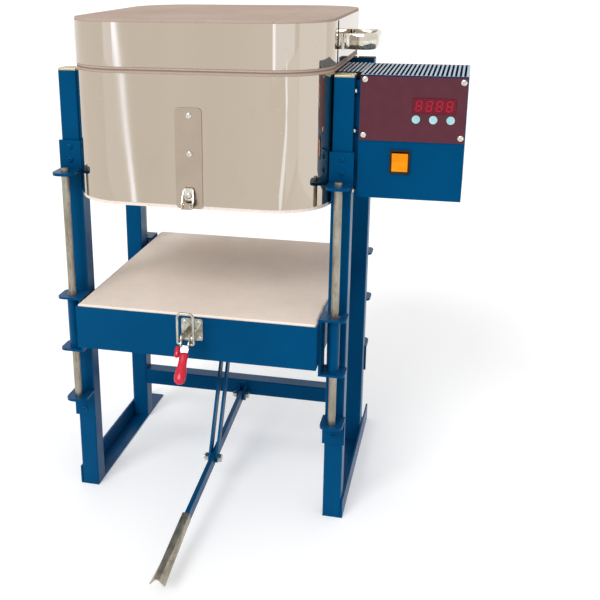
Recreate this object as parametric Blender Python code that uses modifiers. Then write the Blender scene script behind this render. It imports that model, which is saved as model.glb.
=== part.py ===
"""Floor-standing glass kiln: fixed fired ring, lift-off lid and a hearth that a foot lever raises.

Frame coordinates: X to the operator's right, Y to the back, Z up, with zero at the middle of the
four posts on the floor. The part's own origin is the middle of its bounding box, on the floor.
"""

import math

import bmesh
import bpy
from mathutils import Matrix, Vector

MM = 0.001
QUARTER_TURN = math.radians(90)
WELD = 0.01 * MM
SMOOTH_ANGLE = math.radians(35)

# General clearances
GAP = 0.3 * MM
OVERRUN = 5 * MM
HOLE_CLEARANCE = 0.35 * MM

# Stand: four square-tube posts on two angle rails
STAND_WIDTH = 484.5 * MM
STAND_DEPTH = 308 * MM
POST_WIDTH = 31.75 * MM
POST_WALL = 2 * MM
POST_CORNER = 2.5 * MM
POST_HEIGHT = 762 * MM
CAP_THICKNESS = 2.2 * MM
RAIL_LEG = 35 * MM
RAIL_THICKNESS = 3.2 * MM
RAIL_REAR_REACH = 72 * MM
CROSS_RAIL_TOP = 111 * MM

# Guide rods and the eight brackets that hold them
ROD_RADIUS = 6.35 * MM
ROD_STAND_OFF = 30 * MM
ROD_PROUD = 6.2 * MM
ROD_BOTTOM = 190 * MM
ROD_END_CHAMFER = 1 * MM
BRACKET_WIDTH = 38 * MM
BRACKET_REACH = 47 * MM
BRACKET_LEG = 52 * MM
BRACKET_THICKNESS = 4.8 * MM
BRACKET_CORNER = 13 * MM
UPPER_FLANGE_RISE = 39.8 * MM
LOWER_FLANGE_TOP = 198 * MM

# Fired ring: brick wall in a stainless band
RING_OVERHANG = 70 * MM
RING_CORNER_START = 22 * MM
RING_RISE = 12.5 * MM
RING_HEIGHT = 213 * MM
RING_BAND_RISE = 6 * MM
RING_BAND_DROP = 5.5 * MM
BAND_THICKNESS = 0.9 * MM
BRICK_WALL = 63.5 * MM
CHAMBER_CORNER = 30 * MM
ELEMENT_RISES = (57 * MM, 147 * MM)
ELEMENT_RADIUS = 3.2 * MM
GROOVE_RADIUS = 6 * MM
GROOVE_SINK = 3.5 * MM
ELEMENT_TAIL_SPREAD = 24 * MM
ELEMENT_TAIL_HOLE = 3.6 * MM
ELEMENT_TAIL_BEND = 4 * MM
ELEMENT_TAIL_REACH = 12 * MM
ELEMENT_TAIL_Y = -80 * MM
THERMOCOUPLE_RADIUS = 3 * MM
THERMOCOUPLE_RISE = 102 * MM
THERMOCOUPLE_Y = -48 * MM
THERMOCOUPLE_REACH_IN = 8 * MM
THERMOCOUPLE_HEAD = 9 * MM
THERMOCOUPLE_HEAD_LENGTH = 16 * MM

# Catch strip and catch on the ring's front
CATCH_WIDTH = 43 * MM
CATCH_RISE = 1 * MM
CATCH_HEIGHT = 157.5 * MM
CATCH_THICKNESS = 1.5 * MM
CATCH_CORNER = 7 * MM
KEEPER_WIDTH = 16 * MM
KEEPER_THICKNESS = 2 * MM
KEEPER_REACH = 15 * MM
KEEPER_LIP = 10 * MM
KEEPER_RISE = 3 * MM

# Lid: brick slab in a stainless band with two strap handles
LID_THICKNESS = 73.7 * MM
LID_BAND_RISE = 3.7 * MM
LID_BAND_DROP = 4 * MM
HANDLE_DROP = 42 * MM
HANDLE_WIDTH = 27 * MM
HANDLE_THICKNESS = 2.5 * MM
HANDLE_SPAN = 100 * MM
HANDLE_REACH = 53 * MM
HANDLE_BEND = 12 * MM
HANDLE_FOOT = 20 * MM

# Hearth: steel tray with an insulating slab
HEARTH_SIDE_CLEARANCE = 6.5 * MM
TRAY_BOTTOM = 310 * MM
TRAY_HEIGHT = 74 * MM
TRAY_THICKNESS = 2 * MM
SLAB_PROUD = 3.5 * MM
SLAB_CHAMFER = 2.5 * MM

# Hearth guides, which run on the rods
GUIDE_TUBE_RADIUS = 9.5 * MM
GUIDE_TUBE_BORE = 6.85 * MM
GUIDE_PLATE_THICKNESS = 4 * MM
GUIDE_RISE = 6 * MM
GUIDE_DROP = 19 * MM
GUIDE_PLATE_FRONT = 19 * MM
GUIDE_PLATE_BACK = 22 * MM
GUIDE_PLATE_OVERHANG = 5 * MM
GUIDE_PLATE_CORNER = 9 * MM

# Draw latch on the hearth's front
LATCH_BASE_WIDTH = 36 * MM
LATCH_BASE_TOP_DROP = 2 * MM
LATCH_BASE_HEIGHT = 38 * MM
LATCH_BASE_THICKNESS = 2 * MM
LATCH_CORNER = 4 * MM
LATCH_EAR_HEIGHT = 17 * MM
LATCH_EAR_THICKNESS = 2 * MM
LATCH_EAR_OUTER = 20 * MM
LATCH_PIVOT_STAND_OFF = 28 * MM
LATCH_PIVOT_DROP = 27 * MM
LATCH_PIN_RADIUS = 2.4 * MM
HOOK_PIVOT_DROP = 5 * MM
HOOK_PIVOT_FORWARD = 10 * MM
HOOK_WIRE_RADIUS = 2.4 * MM
HOOK_HALF_WIDTH = 13.2 * MM
HOOK_BEND = 7 * MM
HOOK_RISE = 54 * MM
HOOK_END_X = 4.6 * MM
HOOK_EYE_BEND = 2.6 * MM
HANDLE_PLATE_THICKNESS = 2 * MM
HANDLE_PLATE_OUTER = 15 * MM
HANDLE_PLATE_HALF_DEPTH = 7.5 * MM
LATCH_TONGUE_LENGTH = 36 * MM
LATCH_TONGUE_WIDTH = 11 * MM
LATCH_TONGUE_THICKNESS = 3.2 * MM
BRIDGE_THICKNESS = 4.4 * MM
BRIDGE_HEIGHT = 9 * MM
BRIDGE_DROP = 3.4 * MM
GRIP_LENGTH = 51 * MM
GRIP_TOP_RADIUS = 7.4 * MM
GRIP_WAIST_RADIUS = 6.8 * MM
GRIP_END_RADIUS = 9.6 * MM
GRIP_DEPTH_SHARE = 0.75
GRIP_WAIST_SHARE = 0.33
GRIP_SWELL_SHARE = 0.67
LATCH_LEAN = math.radians(38)

# Foot lever, its clevis and the link that lifts the hearth
LEVER_THICKNESS = 7.9 * MM
LEVER_DEPTH = 19 * MM
LEVER_PIVOT_Y = 109 * MM
LEVER_PIVOT_Z = 85 * MM
LEVER_REST_ANGLE = math.radians(6.4)
LEVER_TAIL = 7.5 * MM
LEVER_LINK_REACH = 217.4 * MM
LEVER_BAR_REACH = 404 * MM
PEDAL_LENGTH = 143.4 * MM
LEVER_SIDE_GAP = 0.55 * MM
CLEVIS_THICKNESS = 4 * MM
CLEVIS_END_RADIUS = 12 * MM
CLEVIS_WEB = 3 * MM
PIVOT_BOLT_RADIUS = 4.7 * MM
HEX_HEAD_RADIUS = 8.2 * MM
HEX_HEAD_HEIGHT = 6 * MM
PIVOT_BOLT_EXTRA = 9 * MM
PEDAL_SHEET = 2 * MM
PEDAL_LAP = 14 * MM
PEDAL_START_HALF_WIDTH = 6.4 * MM
PEDAL_END_HALF_WIDTH = 13 * MM
PEDAL_END_SHOULDER = 4.6 * MM
PEDAL_START_DROP = 17 * MM
PEDAL_END_DROP = 12 * MM
STRAP_THICKNESS = 4 * MM
STRAP_WIDTH = 17 * MM
STRAP_END_EXTRA = 9 * MM
LINK_TOP_Y = 16.5 * MM
LINK_TOP_DROP = 20 * MM
LINK_PIN_RADIUS = 4.7 * MM
SLOT_TRAVEL = 16 * MM
SLOT_PLAY = 1.7 * MM
SLOT_TILT = math.radians(18)
LUG_THICKNESS = 4 * MM
LUG_WALL = 9 * MM
LUG_PLATE_LENGTH = 84 * MM
LUG_PLATE_WIDTH = 62 * MM
LUG_PLATE_THICKNESS = 4 * MM

# Control box on the right of the stand
BOX_GAP = 7.8 * MM
BOX_WIDTH = 159 * MM
BOX_DEPTH = 160 * MM
BOX_HEIGHT = 189.7 * MM
BOX_RISE = 4.7 * MM
BOX_FRONT_SETBACK = 6 * MM
BOX_SHEET = 1.6 * MM
BOX_TAB_INSET = 10 * MM
VENT_PITCH = 6.6 * MM
VENT_SLOT_SHARE = 0.52
VENT_SIDE_MARGIN = 2.4 * MM
VENT_END_MARGIN = 2.4 * MM
PANEL_HEIGHT = 99.2 * MM
PANEL_TOP_DROP = 2 * MM
PANEL_THICKNESS = 1.6 * MM
PANEL_EDGE_INSET = 0.8 * MM
DISPLAY_WIDTH = 64 * MM
DISPLAY_HEIGHT = 23 * MM
DISPLAY_RIGHT_INSET = 15.5 * MM
DISPLAY_TOP_INSET = 32.7 * MM
DISPLAY_PROUD = 0.6 * MM
DISPLAY_DEPTH = 10 * MM
BUTTON_RADIUS = 6.2 * MM
BUTTON_PITCH = 25.5 * MM
BUTTON_DROP = 64.7 * MM
BUTTON_LAST_INSET = 22.5 * MM
BUTTON_PROUD = 1.4 * MM
BUTTON_DEPTH = 9 * MM
SWITCH_WIDTH = 32 * MM
SWITCH_HEIGHT = 38 * MM
SWITCH_LEFT = 48.5 * MM
SWITCH_DROP = 131.2 * MM
SWITCH_BEZEL_PROUD = 2 * MM
SWITCH_BEZEL_RIM = 3.4 * MM
SWITCH_BODY_DEPTH = 22 * MM
SWITCH_BODY_WALL = 1.4 * MM
ROCKER_GAP = 0.5 * MM
ROCKER_PROUD = 2.2 * MM
ROCKER_TILT = math.radians(7)
ROCKER_DEPTH = 9 * MM
BOARD_THICKNESS = 1.6 * MM
BOARD_MARGIN = 9 * MM
BOARD_STAND_OFF = 0.4 * MM
RELAY_WIDTH = 34 * MM
RELAY_HEIGHT = 42 * MM
RELAY_DEPTH = 30 * MM
GLAND_RADIUS = 11 * MM
GLAND_BORE = 5 * MM
GLAND_LENGTH = 14 * MM
GLAND_NECK_RADIUS = 8 * MM
GLAND_NECK_LENGTH = 8 * MM
DUCT_FRONT = -120 * MM
DUCT_BACK = 10 * MM
DUCT_RISE = 39 * MM
DUCT_HEIGHT = 165.8 * MM

# Facets
LARGE_CORNER_STEPS = 12
SMALL_CORNER_STEPS = 3
ROD_SIDES = 16
PIN_SIDES = 12
HEX_SIDES = 6

# Places that follow from the sizes above
HALF_WIDTH = STAND_WIDTH / 2
HALF_DEPTH = STAND_DEPTH / 2
POST_X = HALF_WIDTH - POST_WIDTH / 2
POST_Y = HALF_DEPTH - POST_WIDTH / 2
POST_FOOT = RAIL_THICKNESS + GAP
POST_TOP = POST_FOOT + POST_HEIGHT
ROD_Y = HALF_DEPTH + ROD_STAND_OFF
RING_WIDTH = STAND_WIDTH - 2 * POST_WIDTH - 2 * GAP
RING_DEPTH = STAND_DEPTH + 2 * RING_OVERHANG
RING_CORNER = RING_OVERHANG + RING_CORNER_START
RING_FRONT = -RING_DEPTH / 2
RING_BRICK_TOP = POST_TOP + RING_RISE
RING_BRICK_BOTTOM = RING_BRICK_TOP - RING_HEIGHT
UPPER_FLANGE_TOP = RING_BRICK_BOTTOM + UPPER_FLANGE_RISE
ROD_TOP = UPPER_FLANGE_TOP + ROD_PROUD
RING_BAND_BOTTOM = RING_BRICK_BOTTOM + RING_BAND_RISE
RING_BAND_TOP = RING_BRICK_TOP - RING_BAND_DROP
ELEMENT_LEVELS = [RING_BRICK_BOTTOM + rise for rise in ELEMENT_RISES]
THERMOCOUPLE_LEVEL = RING_BRICK_BOTTOM + THERMOCOUPLE_RISE
DUCT_BOTTOM = RING_BRICK_BOTTOM + DUCT_RISE
DUCT_TOP = DUCT_BOTTOM + DUCT_HEIGHT
CATCH_BOTTOM = RING_BRICK_BOTTOM + CATCH_RISE
CATCH_TOP = CATCH_BOTTOM + CATCH_HEIGHT
KEEPER_BOTTOM = RING_BRICK_BOTTOM + KEEPER_RISE
HEARTH_WIDTH = STAND_WIDTH - 2 * POST_WIDTH - 2 * HEARTH_SIDE_CLEARANCE
TRAY_TOP = TRAY_BOTTOM + TRAY_HEIGHT
SLAB_TOP = TRAY_TOP + SLAB_PROUD
GUIDE_UPPER_TOP = TRAY_TOP + GUIDE_RISE
GUIDE_LOWER_BOTTOM = TRAY_BOTTOM - GUIDE_DROP
LATCH_BASE_TOP = TRAY_TOP - LATCH_BASE_TOP_DROP
LATCH_BASE_BOTTOM = LATCH_BASE_TOP - LATCH_BASE_HEIGHT
LATCH_PIVOT_LEVEL = TRAY_TOP - LATCH_PIVOT_DROP
CHAMBER_WIDTH = RING_WIDTH - 2 * BRICK_WALL
CHAMBER_DEPTH = RING_DEPTH - 2 * BRICK_WALL
ELEMENT_CORNER = CHAMBER_CORNER + GROOVE_SINK
LID_BRICK_BOTTOM = RING_BRICK_TOP + GAP
LID_BRICK_TOP = LID_BRICK_BOTTOM + LID_THICKNESS
LID_BAND_BOTTOM = LID_BRICK_BOTTOM + LID_BAND_RISE
LID_BAND_TOP = LID_BRICK_TOP - LID_BAND_DROP
HANDLE_LEVEL = LID_BRICK_TOP - HANDLE_DROP
BOX_LEFT = HALF_WIDTH + BOX_GAP
BOX_RIGHT = BOX_LEFT + BOX_WIDTH
BOX_TOP = POST_TOP + BOX_RISE
BOX_BOTTOM = BOX_TOP - BOX_HEIGHT
BOX_FRONT = -HALF_DEPTH + BOX_FRONT_SETBACK
BOX_BACK = BOX_FRONT + BOX_DEPTH
PANEL_FRONT = BOX_FRONT - GAP - PANEL_THICKNESS
RAIL_BACK = HALF_DEPTH + RAIL_REAR_REACH
LATCH_FACE = RING_FRONT - GAP - LATCH_BASE_THICKNESS
LATCH_PIVOT_Y = RING_FRONT - LATCH_PIVOT_STAND_OFF
HOOK_PIVOT_Y = LATCH_PIVOT_Y - HOOK_PIVOT_FORWARD
HOOK_PIVOT_Z = LATCH_PIVOT_LEVEL - HOOK_PIVOT_DROP
HOOK_TOP = HOOK_PIVOT_Z + HOOK_RISE
LINK_TOP_Z = TRAY_BOTTOM - LINK_TOP_DROP
PIN_Y = LEVER_PIVOT_Y - LEVER_LINK_REACH * math.cos(LEVER_REST_ANGLE)
PIN_Z = LEVER_PIVOT_Z - LEVER_LINK_REACH * math.sin(LEVER_REST_ANGLE)
LINK_LENGTH = math.hypot(LINK_TOP_Y - PIN_Y, LINK_TOP_Z - PIN_Z)
LINK_LEAN = math.atan2(LINK_TOP_Y - PIN_Y, LINK_TOP_Z - PIN_Z)
ROCKER_Y = BOX_FRONT
SWITCH_MIDDLE_LEVEL = BOX_TOP - SWITCH_DROP
SWITCH_X = BOX_LEFT + SWITCH_LEFT + SWITCH_WIDTH / 2
PEDAL_REACH = LEVER_BAR_REACH + PEDAL_LENGTH
PEDAL_CREST = LEVER_DEPTH / 2 + GAP + PEDAL_SHEET
PEDAL_TIP_Y = PEDAL_REACH * math.cos(LEVER_REST_ANGLE) + PEDAL_CREST * math.sin(LEVER_REST_ANGLE)
LEFT_REACH = RING_WIDTH / 2 + GAP + HANDLE_REACH
FRONT_REACH = PEDAL_TIP_Y - LEVER_PIVOT_Y
ORIGIN = Vector(((LEFT_REACH - BOX_RIGHT) / 2, (FRONT_REACH - RAIL_BACK) / 2, 0))

# Directions that an upright extrusion or cylinder can be turned to
ALONG_Y = Matrix.Rotation(QUARTER_TURN, 4, "X")
ALONG_X = Matrix(((0, 0, 1), (1, 0, 0), (0, 1, 0))).to_4x4()
TO_RIGHT = Matrix.Rotation(QUARTER_TURN, 4, "Y")
SIDES = (("left", -1), ("right", 1))
ENDS = (("front", -1), ("rear", 1))


def clear_scene():
    for item in list(bpy.data.objects):
        bpy.data.objects.remove(item, do_unlink=True)


def new_collection(name):
    collection = bpy.data.collections.new(name)
    bpy.context.scene.collection.children.link(collection)
    return collection


def finish(name, colour, roughness, metallic):
    material = bpy.data.materials.new(name)
    material.use_nodes = True
    shader = material.node_tree.nodes["Principled BSDF"]
    shader.inputs["Base Color"].default_value = (*colour, 1)
    shader.inputs["Roughness"].default_value = roughness
    shader.inputs["Metallic"].default_value = metallic
    return material


def at(x, y, z):
    return Matrix.Translation((x, y, z))


def evaluated_mesh(item):
    """Mesh of an object with its modifiers, after which the object is removed."""
    bpy.context.view_layer.update()
    graph = bpy.context.evaluated_depsgraph_get()
    mesh = bpy.data.meshes.new_from_object(item.evaluated_get(graph))
    bpy.data.objects.remove(item, do_unlink=True)
    return mesh


def scratch_object(data):
    item = bpy.data.objects.new("scratch", data)
    bpy.context.scene.collection.objects.link(item)
    return item


def welded(mesh):
    shape = bmesh.new()
    shape.from_mesh(mesh)
    bmesh.ops.remove_doubles(shape, verts=shape.verts, dist=WELD)
    bmesh.ops.recalc_face_normals(shape, faces=shape.faces)
    shape.to_mesh(mesh)
    shape.free()
    return mesh


def box_mesh(width, depth, height):
    mesh = bpy.data.meshes.new("box")
    shape = bmesh.new()
    bmesh.ops.create_cube(shape, size=1)
    bmesh.ops.scale(shape, vec=(width, depth, height), verts=shape.verts)
    shape.to_mesh(mesh)
    shape.free()
    return mesh


def span_box(low, high):
    """Box between two corners."""
    low = Vector(low)
    high = Vector(high)
    mesh = box_mesh(*(high - low))
    mesh.transform(Matrix.Translation((low + high) / 2))
    return mesh


def cylinder_mesh(radius, length, sides, end_radius=None):
    """Upright cylinder or cone centred on zero."""
    mesh = bpy.data.meshes.new("cylinder")
    shape = bmesh.new()
    bmesh.ops.create_cone(
        shape,
        cap_ends=True,
        segments=sides,
        radius1=radius,
        radius2=radius if end_radius is None else end_radius,
        depth=length,
    )
    shape.to_mesh(mesh)
    shape.free()
    return mesh


def plate_mesh(outlines, thickness):
    """Flat plate from closed outlines, the first outside and the rest holes, centred in Z."""
    curve = bpy.data.curves.new("plate", "CURVE")
    curve.dimensions = "2D"
    curve.fill_mode = "BOTH"
    curve.extrude = thickness / 2
    for outline in outlines:
        spline = curve.splines.new("POLY")
        spline.points.add(len(outline) - 1)
        for point, (x, y) in zip(spline.points, outline):
            point.co = (x, y, 0, 1)
        spline.use_cyclic_u = True
    mesh = evaluated_mesh(scratch_object(curve))
    bpy.data.curves.remove(curve)
    return welded(mesh)


def tube_mesh(points, radius, resolution=1, cyclic=False):
    """Round wire along points."""
    curve = bpy.data.curves.new("wire", "CURVE")
    curve.dimensions = "3D"
    curve.bevel_depth = radius
    curve.bevel_resolution = resolution
    curve.use_fill_caps = True
    spline = curve.splines.new("POLY")
    spline.points.add(len(points) - 1)
    for point, place in zip(spline.points, points):
        point.co = (*place, 1)
    spline.use_cyclic_u = cyclic
    mesh = evaluated_mesh(scratch_object(curve))
    bpy.data.curves.remove(curve)
    return welded(mesh)


def turned_mesh(profile, sides):
    """Turned shape from a profile of (radius, height) that runs down its outer side."""
    mesh = bpy.data.meshes.new("profile")
    edges = [(index, index + 1) for index in range(len(profile) - 1)]
    mesh.from_pydata([(radius, 0, height) for radius, height in profile], edges, [])
    item = scratch_object(mesh)
    screw = item.modifiers.new("turn", "SCREW")
    screw.axis = "Z"
    screw.steps = sides
    screw.render_steps = sides
    screw.use_merge_vertices = True
    screw.merge_threshold = WELD
    return welded(evaluated_mesh(item))


def joined(placed):
    """One mesh from several, each given with its placement, that stay separate bodies."""
    mesh = bpy.data.meshes.new("joined")
    shape = bmesh.new()
    for source, place in placed:
        copy = source.copy()
        copy.transform(place)
        shape.from_mesh(copy)
        bpy.data.meshes.remove(copy)
    shape.to_mesh(mesh)
    shape.free()
    return mesh


def combined(base, others, operation):
    """Result of exact Booleans of a base mesh with each other mesh in turn."""
    target = scratch_object(base)
    tools = [scratch_object(other) for other in others]
    for tool in tools:
        modifier = target.modifiers.new("combine", "BOOLEAN")
        modifier.operation = operation
        modifier.solver = "EXACT"
        modifier.object = tool
    mesh = evaluated_mesh(target)
    for tool in tools:
        bpy.data.objects.remove(tool, do_unlink=True)
    return mesh


def fused(base, *others):
    return combined(base, others, "UNION")


def cut(base, *others):
    return combined(base, others, "DIFFERENCE")


def moved(mesh, place):
    mesh.transform(place)
    return mesh


def rounded_outline(width, depth, radius, steps, centre=(0, 0)):
    """Outline of a rectangle with round corners."""
    points = []
    for quarter, (side_x, side_y) in enumerate(((1, 1), (-1, 1), (-1, -1), (1, -1))):
        corner_x = centre[0] + side_x * (width / 2 - radius)
        corner_y = centre[1] + side_y * (depth / 2 - radius)
        for step in range(steps + 1):
            angle = QUARTER_TURN * (quarter + step / steps)
            points.append((corner_x + radius * math.cos(angle), corner_y + radius * math.sin(angle)))
    return points


def circle_outline(radius, sides, centre=(0, 0)):
    turn = 2 * math.pi / sides
    return [
        (centre[0] + radius * math.cos(turn * side), centre[1] + radius * math.sin(turn * side))
        for side in range(sides)
    ]


def rounded_path(corners, radius, steps):
    """Open path through corner points with an arc at each inner corner, which is square."""
    points = [Vector(corners[0])]
    for before, corner, after in zip(corners, corners[1:], corners[2:]):
        corner = Vector(corner)
        along = (corner - Vector(before)).normalized()
        onward = (Vector(after) - corner).normalized()
        centre = corner + (onward - along) * radius
        for step in range(steps + 1):
            angle = QUARTER_TURN * step / steps
            points.append(centre + (along * math.sin(angle) - onward * math.cos(angle)) * radius)
    points.append(Vector(corners[-1]))
    return points


class Part:
    """The nodes of the kiln and the empties that carry each moving group."""

    def __init__(self):
        self.collection = new_collection("glass_kiln")
        self.origin = self.empty("kiln", None, (0, 0, 0))
        self.origin.location = ORIGIN
        self.groups = {"frame": (self.origin, Vector((0, 0, 0)))}

    def empty(self, name, parent, place):
        item = bpy.data.objects.new(name + "_axis", None)
        self.collection.objects.link(item)
        item.parent = parent
        item.location = place
        return item

    def group(self, name, place):
        """Start a moving group whose origin lies on its joint's axis."""
        item = self.empty(name, self.origin, place)
        self.groups[name] = (item, Vector(place))

    def add(self, name, mesh, material, group="frame", smooth=True):
        parent, place = self.groups[group]
        mesh.name = name
        mesh.transform(Matrix.Translation(-place))
        mesh.materials.clear()
        mesh.materials.append(material)
        if smooth:
            mesh.shade_smooth()
            mesh.set_sharp_from_angle(angle=SMOOTH_ANGLE)
        item = bpy.data.objects.new(name, mesh)
        self.collection.objects.link(item)
        item.parent = parent
        return item


def square_tube(length, closed_end=0):
    """Square tube centred on zero, with its upper end closed by a welded cap where one is asked for."""
    outer = rounded_outline(POST_WIDTH, POST_WIDTH, POST_CORNER, SMALL_CORNER_STEPS)
    bore = POST_WIDTH - 2 * POST_WALL
    inner = rounded_outline(bore, bore, POST_CORNER - POST_WALL / 2, SMALL_CORNER_STEPS)
    hollow = plate_mesh([inner], length + 2 * OVERRUN)
    hollow.transform(at(0, 0, -closed_end - OVERRUN if closed_end else 0))
    return cut(plate_mesh([outer], length), hollow)


def add_base_rails(part, blue):
    for name, side in SIDES:
        web = span_box(
            (-RAIL_THICKNESS / 2, -HALF_DEPTH, 0),
            (RAIL_THICKNESS / 2, RAIL_BACK, RAIL_LEG),
        )
        flange = span_box(
            (-RAIL_THICKNESS / 2, -HALF_DEPTH, 0),
            (RAIL_LEG - RAIL_THICKNESS / 2, RAIL_BACK, RAIL_THICKNESS),
        )
        angle = fused(web, flange)
        turn = Matrix.Scale(-side, 4, (1, 0, 0))
        place = at(side * (HALF_WIDTH + GAP + RAIL_THICKNESS / 2), 0, 0) @ turn
        angle.transform(place)
        if side > 0:
            angle.flip_normals()
        part.add("base_rail_" + name, angle, blue, smooth=False)


def add_posts(part, blue):
    tube = square_tube(POST_HEIGHT, CAP_THICKNESS)
    for end_name, end in ENDS:
        for side_name, side in SIDES:
            body = tube.copy()
            body.transform(at(side * POST_X, end * POST_Y, POST_FOOT + POST_HEIGHT / 2))
            part.add("post_" + end_name + "_" + side_name, body, blue)


def add_cross_rail(part, blue):
    length = STAND_WIDTH - 2 * POST_WIDTH - 2 * GAP
    tube = square_tube(length)
    tube.transform(at(0, POST_Y, CROSS_RAIL_TOP - POST_WIDTH / 2) @ ALONG_X)
    part.add("rear_cross_rail", tube, blue)


def add_guide_rods(part, steel):
    length = ROD_TOP - ROD_BOTTOM
    profile = [
        (0, length / 2),
        (ROD_RADIUS - ROD_END_CHAMFER, length / 2),
        (ROD_RADIUS, length / 2 - ROD_END_CHAMFER),
        (ROD_RADIUS, ROD_END_CHAMFER - length / 2),
        (ROD_RADIUS - ROD_END_CHAMFER, -length / 2),
        (0, -length / 2),
    ]
    rod = turned_mesh(profile, ROD_SIDES)
    for end_name, end in ENDS:
        for side_name, side in SIDES:
            body = rod.copy()
            body.transform(at(side * POST_X, end * ROD_Y, (ROD_TOP + ROD_BOTTOM) / 2))
            part.add("guide_rod_" + end_name + "_" + side_name, body, steel)


def rod_bracket_mesh():
    """Bracket that stands on Y zero, reaches to -Y, with its leg rising from its flange's underside."""
    reach = BRACKET_REACH
    half = BRACKET_WIDTH / 2
    outline = [(half, 0), (-half, 0)]
    left_centre = -half + BRACKET_CORNER
    for centre, start in ((left_centre, 2 * QUARTER_TURN), (-left_centre, 3 * QUARTER_TURN)):
        for step in range(2 * SMALL_CORNER_STEPS + 1):
            angle = start + QUARTER_TURN * step / (2 * SMALL_CORNER_STEPS)
            x = centre + BRACKET_CORNER * math.cos(angle)
            y = BRACKET_CORNER - reach + BRACKET_CORNER * math.sin(angle)
            outline.append((x, y))
    flange = plate_mesh([outline], BRACKET_THICKNESS)
    flange.transform(at(0, 0, BRACKET_THICKNESS / 2))
    leg = span_box((-half, -BRACKET_THICKNESS, 0), (half, 0, BRACKET_LEG))
    bore = cylinder_mesh(ROD_RADIUS + GAP, BRACKET_LEG, ROD_SIDES)
    bore.transform(at(0, GAP - ROD_STAND_OFF, 0))
    return cut(fused(flange, leg), bore)


def add_rod_brackets(part, blue):
    bracket = rod_bracket_mesh()
    over = Matrix.Rotation(math.pi, 4, "Y")
    for end_name, end in ENDS:
        turn = Matrix.Rotation(0 if end < 0 else math.pi, 4, "Z")
        for side_name, side in SIDES:
            face = end * (HALF_DEPTH + GAP)
            upper = bracket.copy()
            upper.transform(at(side * POST_X, face, UPPER_FLANGE_TOP - BRACKET_THICKNESS) @ turn)
            part.add("upper_rod_bracket_" + end_name + "_" + side_name, upper, blue, smooth=False)
            lower = bracket.copy()
            lower.transform(at(side * POST_X, face, LOWER_FLANGE_TOP) @ turn @ over)
            part.add("lower_rod_bracket_" + end_name + "_" + side_name, lower, blue, smooth=False)


def band_mesh(bottom, top):
    outer = rounded_outline(RING_WIDTH, RING_DEPTH, RING_CORNER, LARGE_CORNER_STEPS)
    inner = rounded_outline(
        RING_WIDTH - 2 * BAND_THICKNESS,
        RING_DEPTH - 2 * BAND_THICKNESS,
        RING_CORNER - BAND_THICKNESS,
        LARGE_CORNER_STEPS,
    )
    band = plate_mesh([outer, inner], top - bottom)
    band.transform(at(0, 0, (top + bottom) / 2))
    return band


def brick_outline():
    inset = BAND_THICKNESS + GAP
    return rounded_outline(
        RING_WIDTH - 2 * inset, RING_DEPTH - 2 * inset, RING_CORNER - inset, LARGE_CORNER_STEPS
    )


def element_loop(level, tail_end):
    """Corners and bend radii of one turn: in through the right wall, round the chamber and out again."""
    half_x = CHAMBER_WIDTH / 2 + GROOVE_SINK
    half_y = CHAMBER_DEPTH / 2 + GROOVE_SINK
    near = ELEMENT_TAIL_Y - ELEMENT_TAIL_SPREAD / 2
    far = ELEMENT_TAIL_Y + ELEMENT_TAIL_SPREAD / 2
    return [
        ((tail_end, far, level), ELEMENT_TAIL_BEND),
        ((half_x, far, level), ELEMENT_TAIL_BEND),
        ((half_x, half_y, level), ELEMENT_CORNER),
        ((-half_x, half_y, level), ELEMENT_CORNER),
        ((-half_x, -half_y, level), ELEMENT_CORNER),
        ((half_x, -half_y, level), ELEMENT_CORNER),
        ((half_x, near, level), ELEMENT_TAIL_BEND),
        ((tail_end, near, level), ELEMENT_TAIL_BEND),
    ]


def element_path():
    """The lower turn, the step up outside the wall, and the upper turn back to the start's side."""
    tail_end = RING_WIDTH / 2 + ELEMENT_TAIL_REACH
    lower, upper = (element_loop(level, tail_end) for level in ELEMENT_LEVELS)
    corners = lower + upper[::-1]
    points = [Vector(corners[0][0])]
    for before, corner, after in zip(corners, corners[1:], corners[2:]):
        bend = rounded_path((before[0], corner[0], after[0]), corner[1], 2 * SMALL_CORNER_STEPS)
        points += bend[1:-1]
    points.append(Vector(corners[-1][0]))
    return points


def groove_path(level):
    width = CHAMBER_WIDTH + 2 * GROOVE_SINK
    depth = CHAMBER_DEPTH + 2 * GROOVE_SINK
    outline = rounded_outline(width, depth, ELEMENT_CORNER, 2 * SMALL_CORNER_STEPS)
    return [(x, y, level) for x, y in outline]


def element_tail_places():
    for level in ELEMENT_LEVELS:
        for step in (-1, 1):
            yield ELEMENT_TAIL_Y + step * ELEMENT_TAIL_SPREAD / 2, level


def ring_wall_holes():
    """Cutters for the element tails and the thermocouple, which pass through the ring's right wall."""
    length = BRICK_WALL + 2 * OVERRUN + ELEMENT_TAIL_REACH
    middle = (CHAMBER_WIDTH + RING_WIDTH) / 4
    tail = cylinder_mesh(ELEMENT_TAIL_HOLE, length, PIN_SIDES)
    probe = cylinder_mesh(THERMOCOUPLE_RADIUS + GAP, length, PIN_SIDES)
    holes = [(tail, at(middle, y, level) @ ALONG_X) for y, level in element_tail_places()]
    holes.append((probe, at(middle, THERMOCOUPLE_Y, THERMOCOUPLE_LEVEL) @ ALONG_X))
    return joined(holes)


def add_ring(part, stainless, brick):
    part.add("ring_jacket", cut(band_mesh(RING_BAND_BOTTOM, RING_BAND_TOP), ring_wall_holes()), stainless)
    chamber = rounded_outline(CHAMBER_WIDTH, CHAMBER_DEPTH, CHAMBER_CORNER, 2 * SMALL_CORNER_STEPS)
    wall = plate_mesh([brick_outline(), chamber], RING_BRICK_TOP - RING_BRICK_BOTTOM)
    wall.transform(at(0, 0, (RING_BRICK_TOP + RING_BRICK_BOTTOM) / 2))
    grooves = [tube_mesh(groove_path(level), GROOVE_RADIUS, 2, True) for level in ELEMENT_LEVELS]
    part.add("ring_bricks", cut(wall, *grooves, ring_wall_holes()), brick)


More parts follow.
